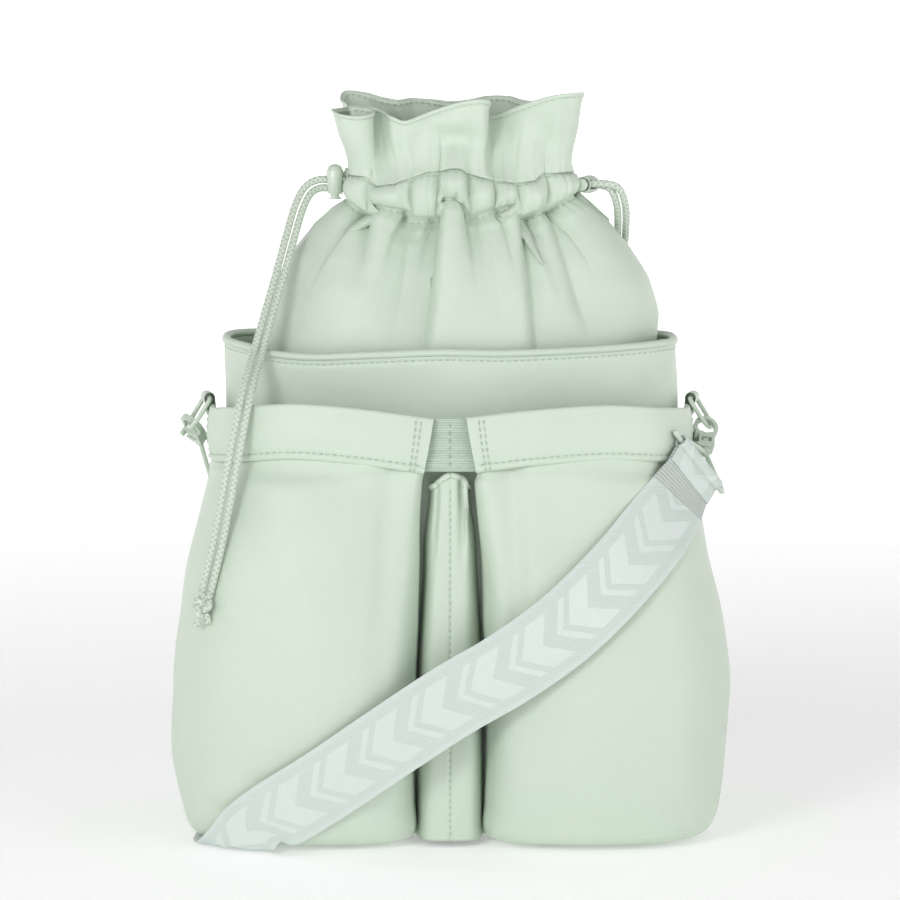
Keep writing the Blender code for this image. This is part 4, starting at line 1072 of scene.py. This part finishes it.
# A band's section as (share of its height, push inwards): its lower seam, then round the top and down inside
BAND_LOW_EDGE = (
    (-0.02, 2.2), (-0.02, 0.9), (0.01, 0.2), (0.035, -0.2), (0.07, -0.3),
    (0.1, 0.25), (0.115, 0.45), (0.13, 0.25),
    (0.17, -0.3),
)
BAND_TOP_EDGE = (
    (0.86, -0.2), (0.9, 0.0), (0.94, 0.0), (0.975, 0.3), (0.995, 0.9),
    (1.0, 1.6), (0.985, 2.3), (0.94, 2.9),
    (0.6, 3.2), (0.1, 3.2),
)
BAND_OUTSIDE = 22  # rows of the section that are seen from outside
BAND_STITCH_ROW = 6
BAND_STITCH_COLUMNS = (7, 10, -9)


def band_surface(side, count=200):
    outline = resample(smooth_path(np.array(BAND_OUTLINE) * MM, 24), count)
    along = unit(np.gradient(outline, axis=0))
    inward = np.stack([-along[:, 1], along[:, 0]], axis=1)
    if inward[count // 3, 1] < 0:
        inward = -inward
    padding = [(t, -0.3 - 1.1 * math.sin(math.pi * (t - 0.17) / 0.68)) for t in np.linspace(0.22, 0.82, 10)]
    profile = [*BAND_LOW_EDGE, *padding, *BAND_TOP_EDGE]
    height = BAND_HIGH_Z - BAND_LOW_Z
    rows = []
    for t, push in profile:
        z = BAND_LOW_Z + height * t + arch(outline[:, 0])
        lean = (2.2 - 5.0 * t) * MM * np.linspace(1, 0, count) ** 6
        place = outline + inward * push * MM
        rows.append(np.column_stack([place[:, 0] + lean, place[:, 1], z]))
    grid = np.array(rows)
    wobble = noise_at(grid, 22, 5.5 + side) * 0.8 * MM * np.clip((115 * MM - grid[:, :, 0]) / (30 * MM), 0, 1)
    grid[:, :, :2] += inward[None] * wobble[:, :, None]
    grid[:, :, 2] += noise_at(grid, 14, 2.2 + side) * 0.8 * MM
    grid[:, :, 0] *= side
    return grid


for side, word in SIDES:
    grid = band_surface(side)
    flip = oriented(grid[:BAND_OUTSIDE], (side * 0.4, -1, 0))
    band = grid_mesh(f"band_{word}_skin", grid, LEATHER, flip=flip)
    clean(band, close=True, sharp=60)
    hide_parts(f"pocket_band_{word}")
    normal = grid_normals(grid, closed=False)
    if flip:
        normal = -normal
    lines = [(world(grid[BAND_STITCH_ROW, 3:-3]), normal[BAND_STITCH_ROW, 3:-3])]
    for column in BAND_STITCH_COLUMNS:
        lines.append((world(grid[1:BAND_OUTSIDE, column]), normal[1:BAND_OUTSIDE, column]))
    stitches(f"band_{word}_stitches", lines, lift=0.15 * MM)


# ------------------------------------------ elastic and pleat in the middle


def build_elastic():
    count, rows = 60, 40
    grid = []
    for r in range(rows):
        t = r / (rows - 1)
        z = (194.5 + 27 * t) * MM
        half = (20.5 - 3.0 * t) * MM
        x = np.linspace(-half, half, count)
        ribs = 0.35 * MM * math.sin(r * 2 * math.pi / 2.6)
        y = -82.6 * MM - 0.6 * MM * np.cos(x / half * math.pi / 2) + ribs
        grid.append(np.stack([x, np.broadcast_to(y, x.shape), np.full(count, z)], axis=1))
    grid = np.array(grid)
    flip = oriented(grid, (0, -1, 0))
    elastic = grid_mesh("elastic_web", grid, RIBBED, flip=flip, slot="elastic", thickness=1.2 * MM)
    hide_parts("pocket_elastic")
    line = np.array([(0, -83.5, z) for z in np.linspace(196, 220, 20)]) * MM
    stitches("elastic_stitches", [(world(line), np.tile((0, -1.0, 0), (20, 1)))])


def build_pleat():
    """The gusset between the pockets: nearly flat, tucked back at its sides, with folds at its top."""
    rows, count = 90, 110
    grid = []
    u = np.linspace(-1, 1, count)
    for r in range(rows):
        t = r / (rows - 1)
        z = (3.2 + 184.5 * t) * MM
        half = (17.6 - 4.2 * ease(t, 0.3, 0.85) - 3.2 * ease(t, 0.8, 1.0)) * MM
        crown = (25.0 - 8.0 * ease(t, 0.55, 0.95) - 3.0 * ease(-t, -0.12, 0)) * MM
        y = -63.2 * MM - crown * (1 - np.abs(u) ** 6) ** 0.8
        fold = ease(t, 0.72, 0.97)
        for depth, place, width in ((3.6, 0.42, 0.13), (-1.6, 0.72, 0.14), (2.2, -0.62, 0.12)):
            y += fold * depth * MM * bell(u - place, width)
        x = u * half + fold * 1.6 * MM * bell(u - 0.45, 0.3)
        rise = 4.0 * MM * ease(t, 0.86, 1.0) * np.sin(u * 2.6 + 1.5)
        grid.append(np.stack([x, y, z + rise], axis=1))
    grid = np.array(grid)
    normal = grid_normals(grid, closed=False)
    flip = oriented(grid, (0, -1, 0))
    sign = -1 if flip else 1
    wave = noise_at(grid * np.array((1, 1, 0.35)), 60, 7.7) * 0.8 * MM
    seam = -0.5 * MM * bell(u, 0.05)[None, :]
    grid = grid + normal * sign * (wave + seam)[:, :, None]
    pleat = grid_mesh("pleat_skin", grid, LEATHER, flip=flip, thickness=1.4 * MM)
    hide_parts("centre_pleat")
    middle = grid[:, count // 2]
    face = grid_normals(grid, closed=False)[:, count // 2] * sign
    stitches("pleat_stitches", [(world(middle[1:-3]), face[1:-3])])
    rim_path = grid[-1] + np.array((0, 0, 0.4 * MM))
    tube("pleat_roll", world(resample(rim_path, 110)), 1.6 * MM, LEATHER, slot="leather", sides=14)


build_elastic()
build_pleat()


# ------------------------------------------------------ tabs and hardware

EYE = Vector((127.5, -12, 226.0)) * MM
TAB_TURN = math.radians(12)
TAB_WIDTH = 12 * MM
RING_HANG = math.radians(32)
RING_HALF_WIDTH = 9.5 * MM
RING_SIDE = 9 * MM
RING_WIRE = 1.2 * MM
LOCK_FROM_EXIT = 5.4 * MM
SPRING_TURNS = 2.5
SPRING_RADIUS, SPRING_WIRE = 2.4 * MM, 0.28 * MM
SPRING_SPAN = (-8.9 * MM, -6.2 * MM)
LOOP_RIGHT = ((114.9, -71.2, 213.8), (142, -45.2, 178.6))
LOOP_LEFT = ((-126.2, 13.6, 175.2), (-110.8, 51, 207.4))


def side_frame(side):
    """Ring hinge axis, and the direction in which the ring hangs, for one side of the bag."""
    axis = Vector((side * math.sin(TAB_TURN), math.cos(TAB_TURN), 0))
    outward = Vector((side * math.cos(TAB_TURN), -math.sin(TAB_TURN), 0))
    hang = outward * math.sin(RING_HANG) - Vector((0, 0, 1)) * math.cos(RING_HANG)
    return Vector((side * EYE.x, EYE.y, EYE.z)), axis, outward, hang


def ring_path(side):
    eye, axis, _, hang = side_frame(side)
    corner, wide = 2.4 * MM, RING_HALF_WIDTH
    path = [eye - axis * (wide - corner), eye, eye + axis * (wide - corner)]
    path += [eye + axis * (wide - corner * 0.3) + hang * corner * 0.3, eye + axis * wide + hang * corner]
    for i in range(11):
        turn = math.pi * i / 10
        path.append(eye + axis * wide * math.cos(turn) + hang * (RING_SIDE + wide * math.sin(turn)))
    path += [eye - axis * wide + hang * corner, eye - axis * (wide - corner * 0.3) + hang * corner * 0.3]
    return np.array([tuple(p) for p in path])


def loop_corners(side):
    """The two ends of the strap loop's bar."""
    return [Vector(corner) * MM for corner in (LOOP_RIGHT if side > 0 else LOOP_LEFT)]


# Kept CAD pieces: node, width of its rounded edges, material, and how sharp an edge is rounded
FINISHES = (
    ("hook_body", 0.35, METAL, 32), ("hook_gate", 0.3, METAL, 32), ("strap_loop", 0.25, METAL, 40),
    ("lock_barrel", 0.3, LOCK, 40), ("lock_button", 0.25, LOCK, 40),
)


def finish_metal(node, width, material, angle):
    """Keeps a hard CAD piece, with its edges rounded off and a finished material."""
    obj = frame["nodes"][node]
    obj.data.materials.clear()
    obj.data.materials.append(material)
    bevel = obj.modifiers.new("soft_edges", "BEVEL")
    bevel.width = width
    bevel.segments = 3
    bevel.limit_method = "ANGLE"
    bevel.angle_limit = math.radians(angle)
    bevel.use_clamp_overlap = True
    bevel.harden_normals = False
    obj.modifiers.new("clean_shading", "WEIGHTED_NORMAL").keep_sharp = True


def build_tab(side, word):
    """The leather tab that holds the ring: a stitched strip, wrapped round the ring's bar."""
    eye, axis, outward, _ = side_frame(side)
    foot = Vector((side * 121.0, EYE.y / MM, 196)) * MM
    up = (eye - foot).normalized()
    out = (outward - up * outward.dot(up)).normalized()
    half, ring = 1.5 * MM, 3.2 * MM
    start = math.asin(half / ring)
    rise, rises = eye - foot, np.linspace(0.1, 0.85, 10)
    profile = [foot + rise * t - out * half for t in (0, *rises)]
    for t in np.linspace(start, 2 * math.pi - start, 34):
        profile.append(eye - up * ring * math.cos(t) - out * ring * math.sin(t))
    profile += [foot + rise * t + out * half for t in (*rises[::-1], 0)]
    rows = []
    for u in np.linspace(-1, 1, 15):
        shrink = 0.35 * MM * abs(u) ** 8  # rounds the two edges of the loop
        tucks = [(p - eye).normalized() * (shrink if (p - eye).length < 4 * MM else 0) for p in profile]
        rows.append([tuple(p + axis * TAB_WIDTH / 2 * u - tuck) for p, tuck in zip(profile, tucks)])
    tab = grid_mesh(f"tab_{word}_skin", np.array(rows), LEATHER)
    clean(tab, close=True, sharp=50)
    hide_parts(f"ring_tab_{word}")
    lines = []
    for u in (-0.78, 0.78):
        face = foot + out * (half + 0.1 * MM) + axis * TAB_WIDTH / 2 * u
        line = [tuple(face + rise * t) for t in np.linspace(0.12, 0.8, 20)]
        lines.append((world(line), np.tile(tuple(out), (20, 1))))
    stitches(f"tab_{word}_stitches", lines)


def build_spring(side, word):
    """The cord lock's spring, drawn as a fixed coil of wire; the real one flattens onto the barrel's floor as
    the button goes in.
    """
    exit_point, through, stack = lock_frame(side)
    other = np.cross(stack, through)
    centre = exit_point + through * LOCK_FROM_EXIT
    low, high = SPRING_SPAN
    path = []
    for t in np.linspace(0, 1, 72):
        angle = 2 * math.pi * SPRING_TURNS * t
        out = through * math.cos(angle) + other * math.sin(angle)
        path.append(centre + stack * (low + (high - low) * t) + out * SPRING_RADIUS)
    spring = tube(f"spring_{word}", world(path), SPRING_WIRE, STEEL, f"lock_{word}", "spring", sides=8)
    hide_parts(f"lock_spring_{word}")
    anchor = world(centre + stack * (low - SPRING_WIRE))
    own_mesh(spring)


def build_hardware():
    for side, word in SIDES:
        build_tab(side, word)
        line = world(smooth_path(ring_path(side), 5, closed=True))
        ring = tube(f"ring_{word}_wire", line, RING_WIRE, METAL, f"ring_{word}", "hardware", 20, closed=True)
        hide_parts(f"ring_{word}")
        for node, width, material, angle in FINISHES:
            finish_metal(f"{node}_{word}", width * MM, material, angle)
        build_spring(side, word)
    finish_metal("strap_slider", 0.8 * MM, METAL, 32)


build_hardware()


# ------------------------------------------------------------------- strap

STRAP_WIDTH = WEBBING_WIDE * MM
STRAP_FLOOR_GAP = 1.3 * MM
STRAP_THICK = 1.4 * MM
FOLD_RADIUS = 3.2 * MM
STRAP_START = Vector((122.5, -64.5, 187)) * MM
STRAP_FINISH = Vector((-113, 37, 183)) * MM
STRAP_CLEAR = 3.7 * MM
STRAP_REAR_CLEAR = 4.4 * MM
STRAP_FRONT = (
    (110, 171), (88, 146), (60, 119), (31, 98), (1, 80.5),
    (-30, 60), (-62, 38), (-88, 21), (-104, 10),
)
STRAP_UNDER = (
    ((-114, -101.5, 24), (-86, -104, 7)),
    ((-123, -95, 12), (-90, -103, 2.4)),
    ((-130, -85, 3.2), (-94, -94, 1.3)),
    ((-133, -70, 1.3), (-95.5, -76, 1.3)),
    ((-132.5, -54, 1.3), (-95, -55, 1.3)),
    ((-132, -25, 1.3), (-94.5, -25, 1.3)),
    ((-131, 0, 1.3), (-94, 8, 1.3)),
    ((-123.5, 20, 1.3), (-88.5, 38, 1.3)),
    ((-117.5, 36, 2.4), (-84, 57, 2.4)),
)
STRAP_REAR = ((-100, 14, 0), (-100, 60, 0), (-100, 110, 0), (-103, 142, 12), (-108, 163, 22))
STRAP_SPLIT_Y = -25 * MM


def front_of_pockets(x, z):
    """Y of the pockets' front at a place, with the valley between them bridged over."""
    loop = pocket_front(min(max(z, POCKET_LOW_Z), POCKET_TOP_Z), 300)
    forward = loop[: int(np.argmax(loop[:, 0])) + 1]
    ahead = forward[int(np.argmin(forward[:, 1])) :]
    return float(np.interp(abs(x), ahead[:, 0], ahead[:, 1]))


def rear_wall(x):
    """A place on the bucket's back, with its outward normal and the level direction along it."""
    y = BODY_HALF_DEPTH * (1 - abs(x / BODY_HALF_WIDTH) ** BODY_SQUARENESS) ** (1 / BODY_SQUARENESS)
    power = BODY_SQUARENESS - 1
    out = math.copysign(abs(x / BODY_HALF_WIDTH) ** power / BODY_HALF_WIDTH, x)
    normal = Vector((out, (y / BODY_HALF_DEPTH) ** power / BODY_HALF_DEPTH, 0)).normalized()
    return Vector((x, y, 0)), normal, Vector((normal.y, -normal.x, 0))


def strap_rows():
    """Edge points of the webbing, from the right fold down the front, under the bag and up to the left."""
    half = STRAP_WIDTH / 2
    first, second = loop_corners(1)
    along = (second - first).normalized()
    rows = [(STRAP_START - along * half, STRAP_START + along * half)]
    centres = [(STRAP_START.x, STRAP_START.z)] + [(x * MM, z * MM) for x, z in STRAP_FRONT]
    for i in range(1, len(centres) - 1):
        ahead = np.array(centres[i + 1]) - np.array(centres[i - 1])
        ahead /= np.linalg.norm(ahead)
        row = []
        for sign in (-1, 1):
            x = centres[i][0] - sign * ahead[1] * half
            z = max(centres[i][1] + sign * ahead[0] * half, 6 * MM)
            row.append(Vector((x, front_of_pockets(x, z) - STRAP_CLEAR, z)))
        rows.append(tuple(row))
    rows += [(Vector(a) * MM, Vector(b) * MM) for a, b in STRAP_UNDER]
    for x, z, tilt in STRAP_REAR:
        point, normal, tangent = rear_wall(x * MM)
        centre = point + normal * STRAP_REAR_CLEAR + Vector((0, 0, z * MM))
        wide = tangent * math.cos(math.radians(tilt)) + Vector((0, 0, 1)) * math.sin(math.radians(tilt))
        rows.append((centre - wide * half, centre + wide * half))
    first, second = loop_corners(-1)
    along = (second - first).normalized()
    rows.append((STRAP_FINISH - along * half, STRAP_FINISH + along * half))
    return rows


def strap_surface(across=27, per_span=8):
    grid = []
    for number, (left, right) in enumerate(strap_rows()):
        row = [left + (right - left) * i / 4 for i in range(5)]
        if 1 <= number <= len(STRAP_FRONT) - 1:
            row = [Vector((p.x, min(p.y, front_of_pockets(p.x, p.z) - STRAP_CLEAR), p.z)) for p in row]
        grid.append([tuple(p) for p in row])
    grid = np.array(grid)
    rows = smooth_path(grid.reshape(len(grid), -1), per_span).reshape(-1, 5, 3)
    fine = np.array([smooth_path(row, 8) for row in rows])
    keep = np.linspace(0, fine.shape[1] - 1, across)
    lows = np.floor(keep).astype(int)
    highs = np.minimum(lows + 1, fine.shape[1] - 1)
    part = (keep - lows)[None, :, None]
    rows = fine[:, lows] * (1 - part) + fine[:, highs] * part
    on_front = (rows[:, :, 1] < -60 * MM) & (rows[:, :, 2] > 2.6 * MM)
    for r, c in zip(*np.nonzero(on_front)):
        x, y, z = rows[r, c]
        rows[r, c, 1] = min(y, front_of_pockets(x, z) - STRAP_CLEAR)
    rows[:, :, 2] = np.maximum(rows[:, :, 2], STRAP_FLOOR_GAP)
    return rows


def strap_mesh(name, rows, reach, body):
    """A length of webbing with thickness, and UVs in millimetres: x across and y along."""
    count, across = rows.shape[:2]
    normal = grid_normals(rows, closed=False)
    share = np.linspace(-1, 1, across)
    thick = STRAP_THICK / 2 * np.clip((1.0 - np.abs(share) ** 14), 0.35, 1)
    front = rows - normal * thick[None, :, None]
    behind = rows + normal * thick[None, :, None]
    loop = np.concatenate([front, behind[:, ::-1]], axis=1)
    width = np.linspace(0, STRAP_WIDTH / MM, across)
    uv_row = np.concatenate([width, width[::-1]])
    uvs = [(u, v / MM) for v in reach for u in uv_row]
    columns = 2 * across
    faces = grid_faces(count, columns, closed=True)
    faces.append(tuple(range(columns))[::-1])
    faces.append(tuple(range((count - 1) * columns, count * columns)))
    obj = make_mesh(name, world(loop).reshape(-1, 3), faces, WOVEN, body, "webbing", uvs)
    clean(obj, sharp=55)
    return obj


def build_fold(side, word, towards):
    """The webbing's end round the loop's bar, sewn through both layers."""
    first, second = loop_corners(side)
    along = (second - first).normalized()
    middle = (first + second) / 2
    out = towards - middle
    length = out.length
    out = (out - along * out.dot(along)).normalized()
    up = along.cross(out)
    half = 0.75 * MM
    angles = np.linspace(math.radians(14), math.radians(346), 40)
    profile = [middle + out * length * t + up * half * 1.1 for t in np.linspace(0.98, 0.5, 6)]
    profile += [middle + (out * math.cos(t) + up * math.sin(t)) * (FOLD_RADIUS - 0.15 * MM) for t in angles]
    profile += [middle + out * length * t - up * half * 1.1 for t in np.linspace(0.5, 0.98, 6)]
    path = np.array([tuple(p) for p in profile])
    reach = reach_along(path)
    wide = np.linspace(-0.5, 0.5, 17) * (STRAP_WIDTH - 1.0 * MM)
    grid = np.array([[p + np.array(along) * w for w in wide] for p in path])
    uvs = [(w / MM + WEBBING_WIDE / 2, r / MM) for r in reach for w in wide]
    fold = grid_mesh(f"fold_{word}_web", grid, WOVEN, body=f"ring_{word}", slot="webbing", uvs=uvs)
    thicken(fold, 1.1 * MM, 0)
    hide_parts(f"strap_fold_{word}")


strap_grid = strap_surface()
middle_line = strap_grid[:, strap_grid.shape[1] // 2]
strap_reach = reach_along(middle_line)
under = np.nonzero((middle_line[:, 2] < 4 * MM) & (middle_line[:, 1] > STRAP_SPLIT_Y))[0][0]
front_part, rear_part = slice(None, under + 1), slice(under, None)
strap_front = strap_mesh("strap_front_run", strap_grid[front_part], strap_reach[front_part], None)
strap_rear = strap_mesh("strap_rear_run", strap_grid[rear_part], strap_reach[rear_part], None)
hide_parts("strap_webbing")
tuple(world(middle_line[22]))
tuple(world(middle_line[0]))
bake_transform(strap_front)
tuple(world(middle_line[-30]))
tuple(world(middle_line[-1]))
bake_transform(strap_rear)
build_fold(1, "right", STRAP_START)
build_fold(-1, "left", STRAP_FINISH)


# --------------------------------------------------- floor, light and output


def area_light(name, place, aim, size, power):
    data = bpy.data.lights.new(name, "AREA")
    data.shape = "RECTANGLE"
    data.size, data.size_y = size
    data.energy = power
    obj = bpy.data.objects.new(name, data)
    bpy.context.scene.collection.objects.link(obj)
    obj.location = place
    obj.rotation_euler = (Vector(aim) - Vector(place)).to_track_quat("-Z", "Y").to_euler()


FLOOR_PROFILE = (
    (0.02, 0), (1, 0), (3, 0), (6, 0), (7.6, 0.05),
    (8.4, 0.35), (8.8, 1.0), (9, 2.0), (9, 3.2),
)
WORLD_STRENGTH = 0.34


def build_stage():
    """A round white floor whose far edge turns up into a low wall."""
    turns = np.linspace(0, 2 * math.pi, 96, endpoint=False)
    points = [(r * math.cos(t), r * math.sin(t), z) for r, z in FLOOR_PROFILE for t in turns]
    mesh = bpy.data.meshes.new("floor")
    faces = grid_faces(len(FLOOR_PROFILE), len(turns), closed=True) + [tuple(range(len(turns)))]
    mesh.from_pydata(points, [], faces)
    mesh.shade_smooth()
    stage = Shader("studio_paper", (0.95, 0.95, 0.95), 0.85, Emission_Color=(1, 1, 1, 1))
    stage.colour(stage.mix(stage.noise(3, 2), (0.94, 0.94, 0.94), (0.955, 0.955, 0.955)))
    reach = stage.node("ShaderNodeVectorMath", operation="LENGTH")
    stage.link(stage.coordinates(), reach.inputs[0])
    glow = stage.ramp(reach.outputs["Value"], 0.4, 2.2, 0.27, 0.7)
    stage.link(glow, stage.shader.inputs["Emission Strength"])
    mesh.materials.append(stage.material)
    floor = bpy.data.objects.new("floor", mesh)
    bpy.context.scene.collection.objects.link(floor)


build_stage()
world_data = bpy.data.worlds.new("studio")
world_data.use_nodes = True
sky = world_data.node_tree.nodes["Background"]
sky.inputs["Color"].default_value = (1, 1, 1, 1)
sky.inputs["Strength"].default_value = WORLD_STRENGTH
bpy.context.scene.world = world_data
area_light("key", (-0.9, -1.7, 0.85), (0, 0, 0.2), (0.6, 0.6), 11.5)
area_light("fill", (1.5, -1.2, 0.5), (0, 0, 0.2), (0.9, 0.9), 5.0)
area_light("top", (0, 0.1, 1.7), (0, 0, 0.1), (1.2, 1.2), 2)
bpy.context.scene.view_settings.view_transform = "Standard"
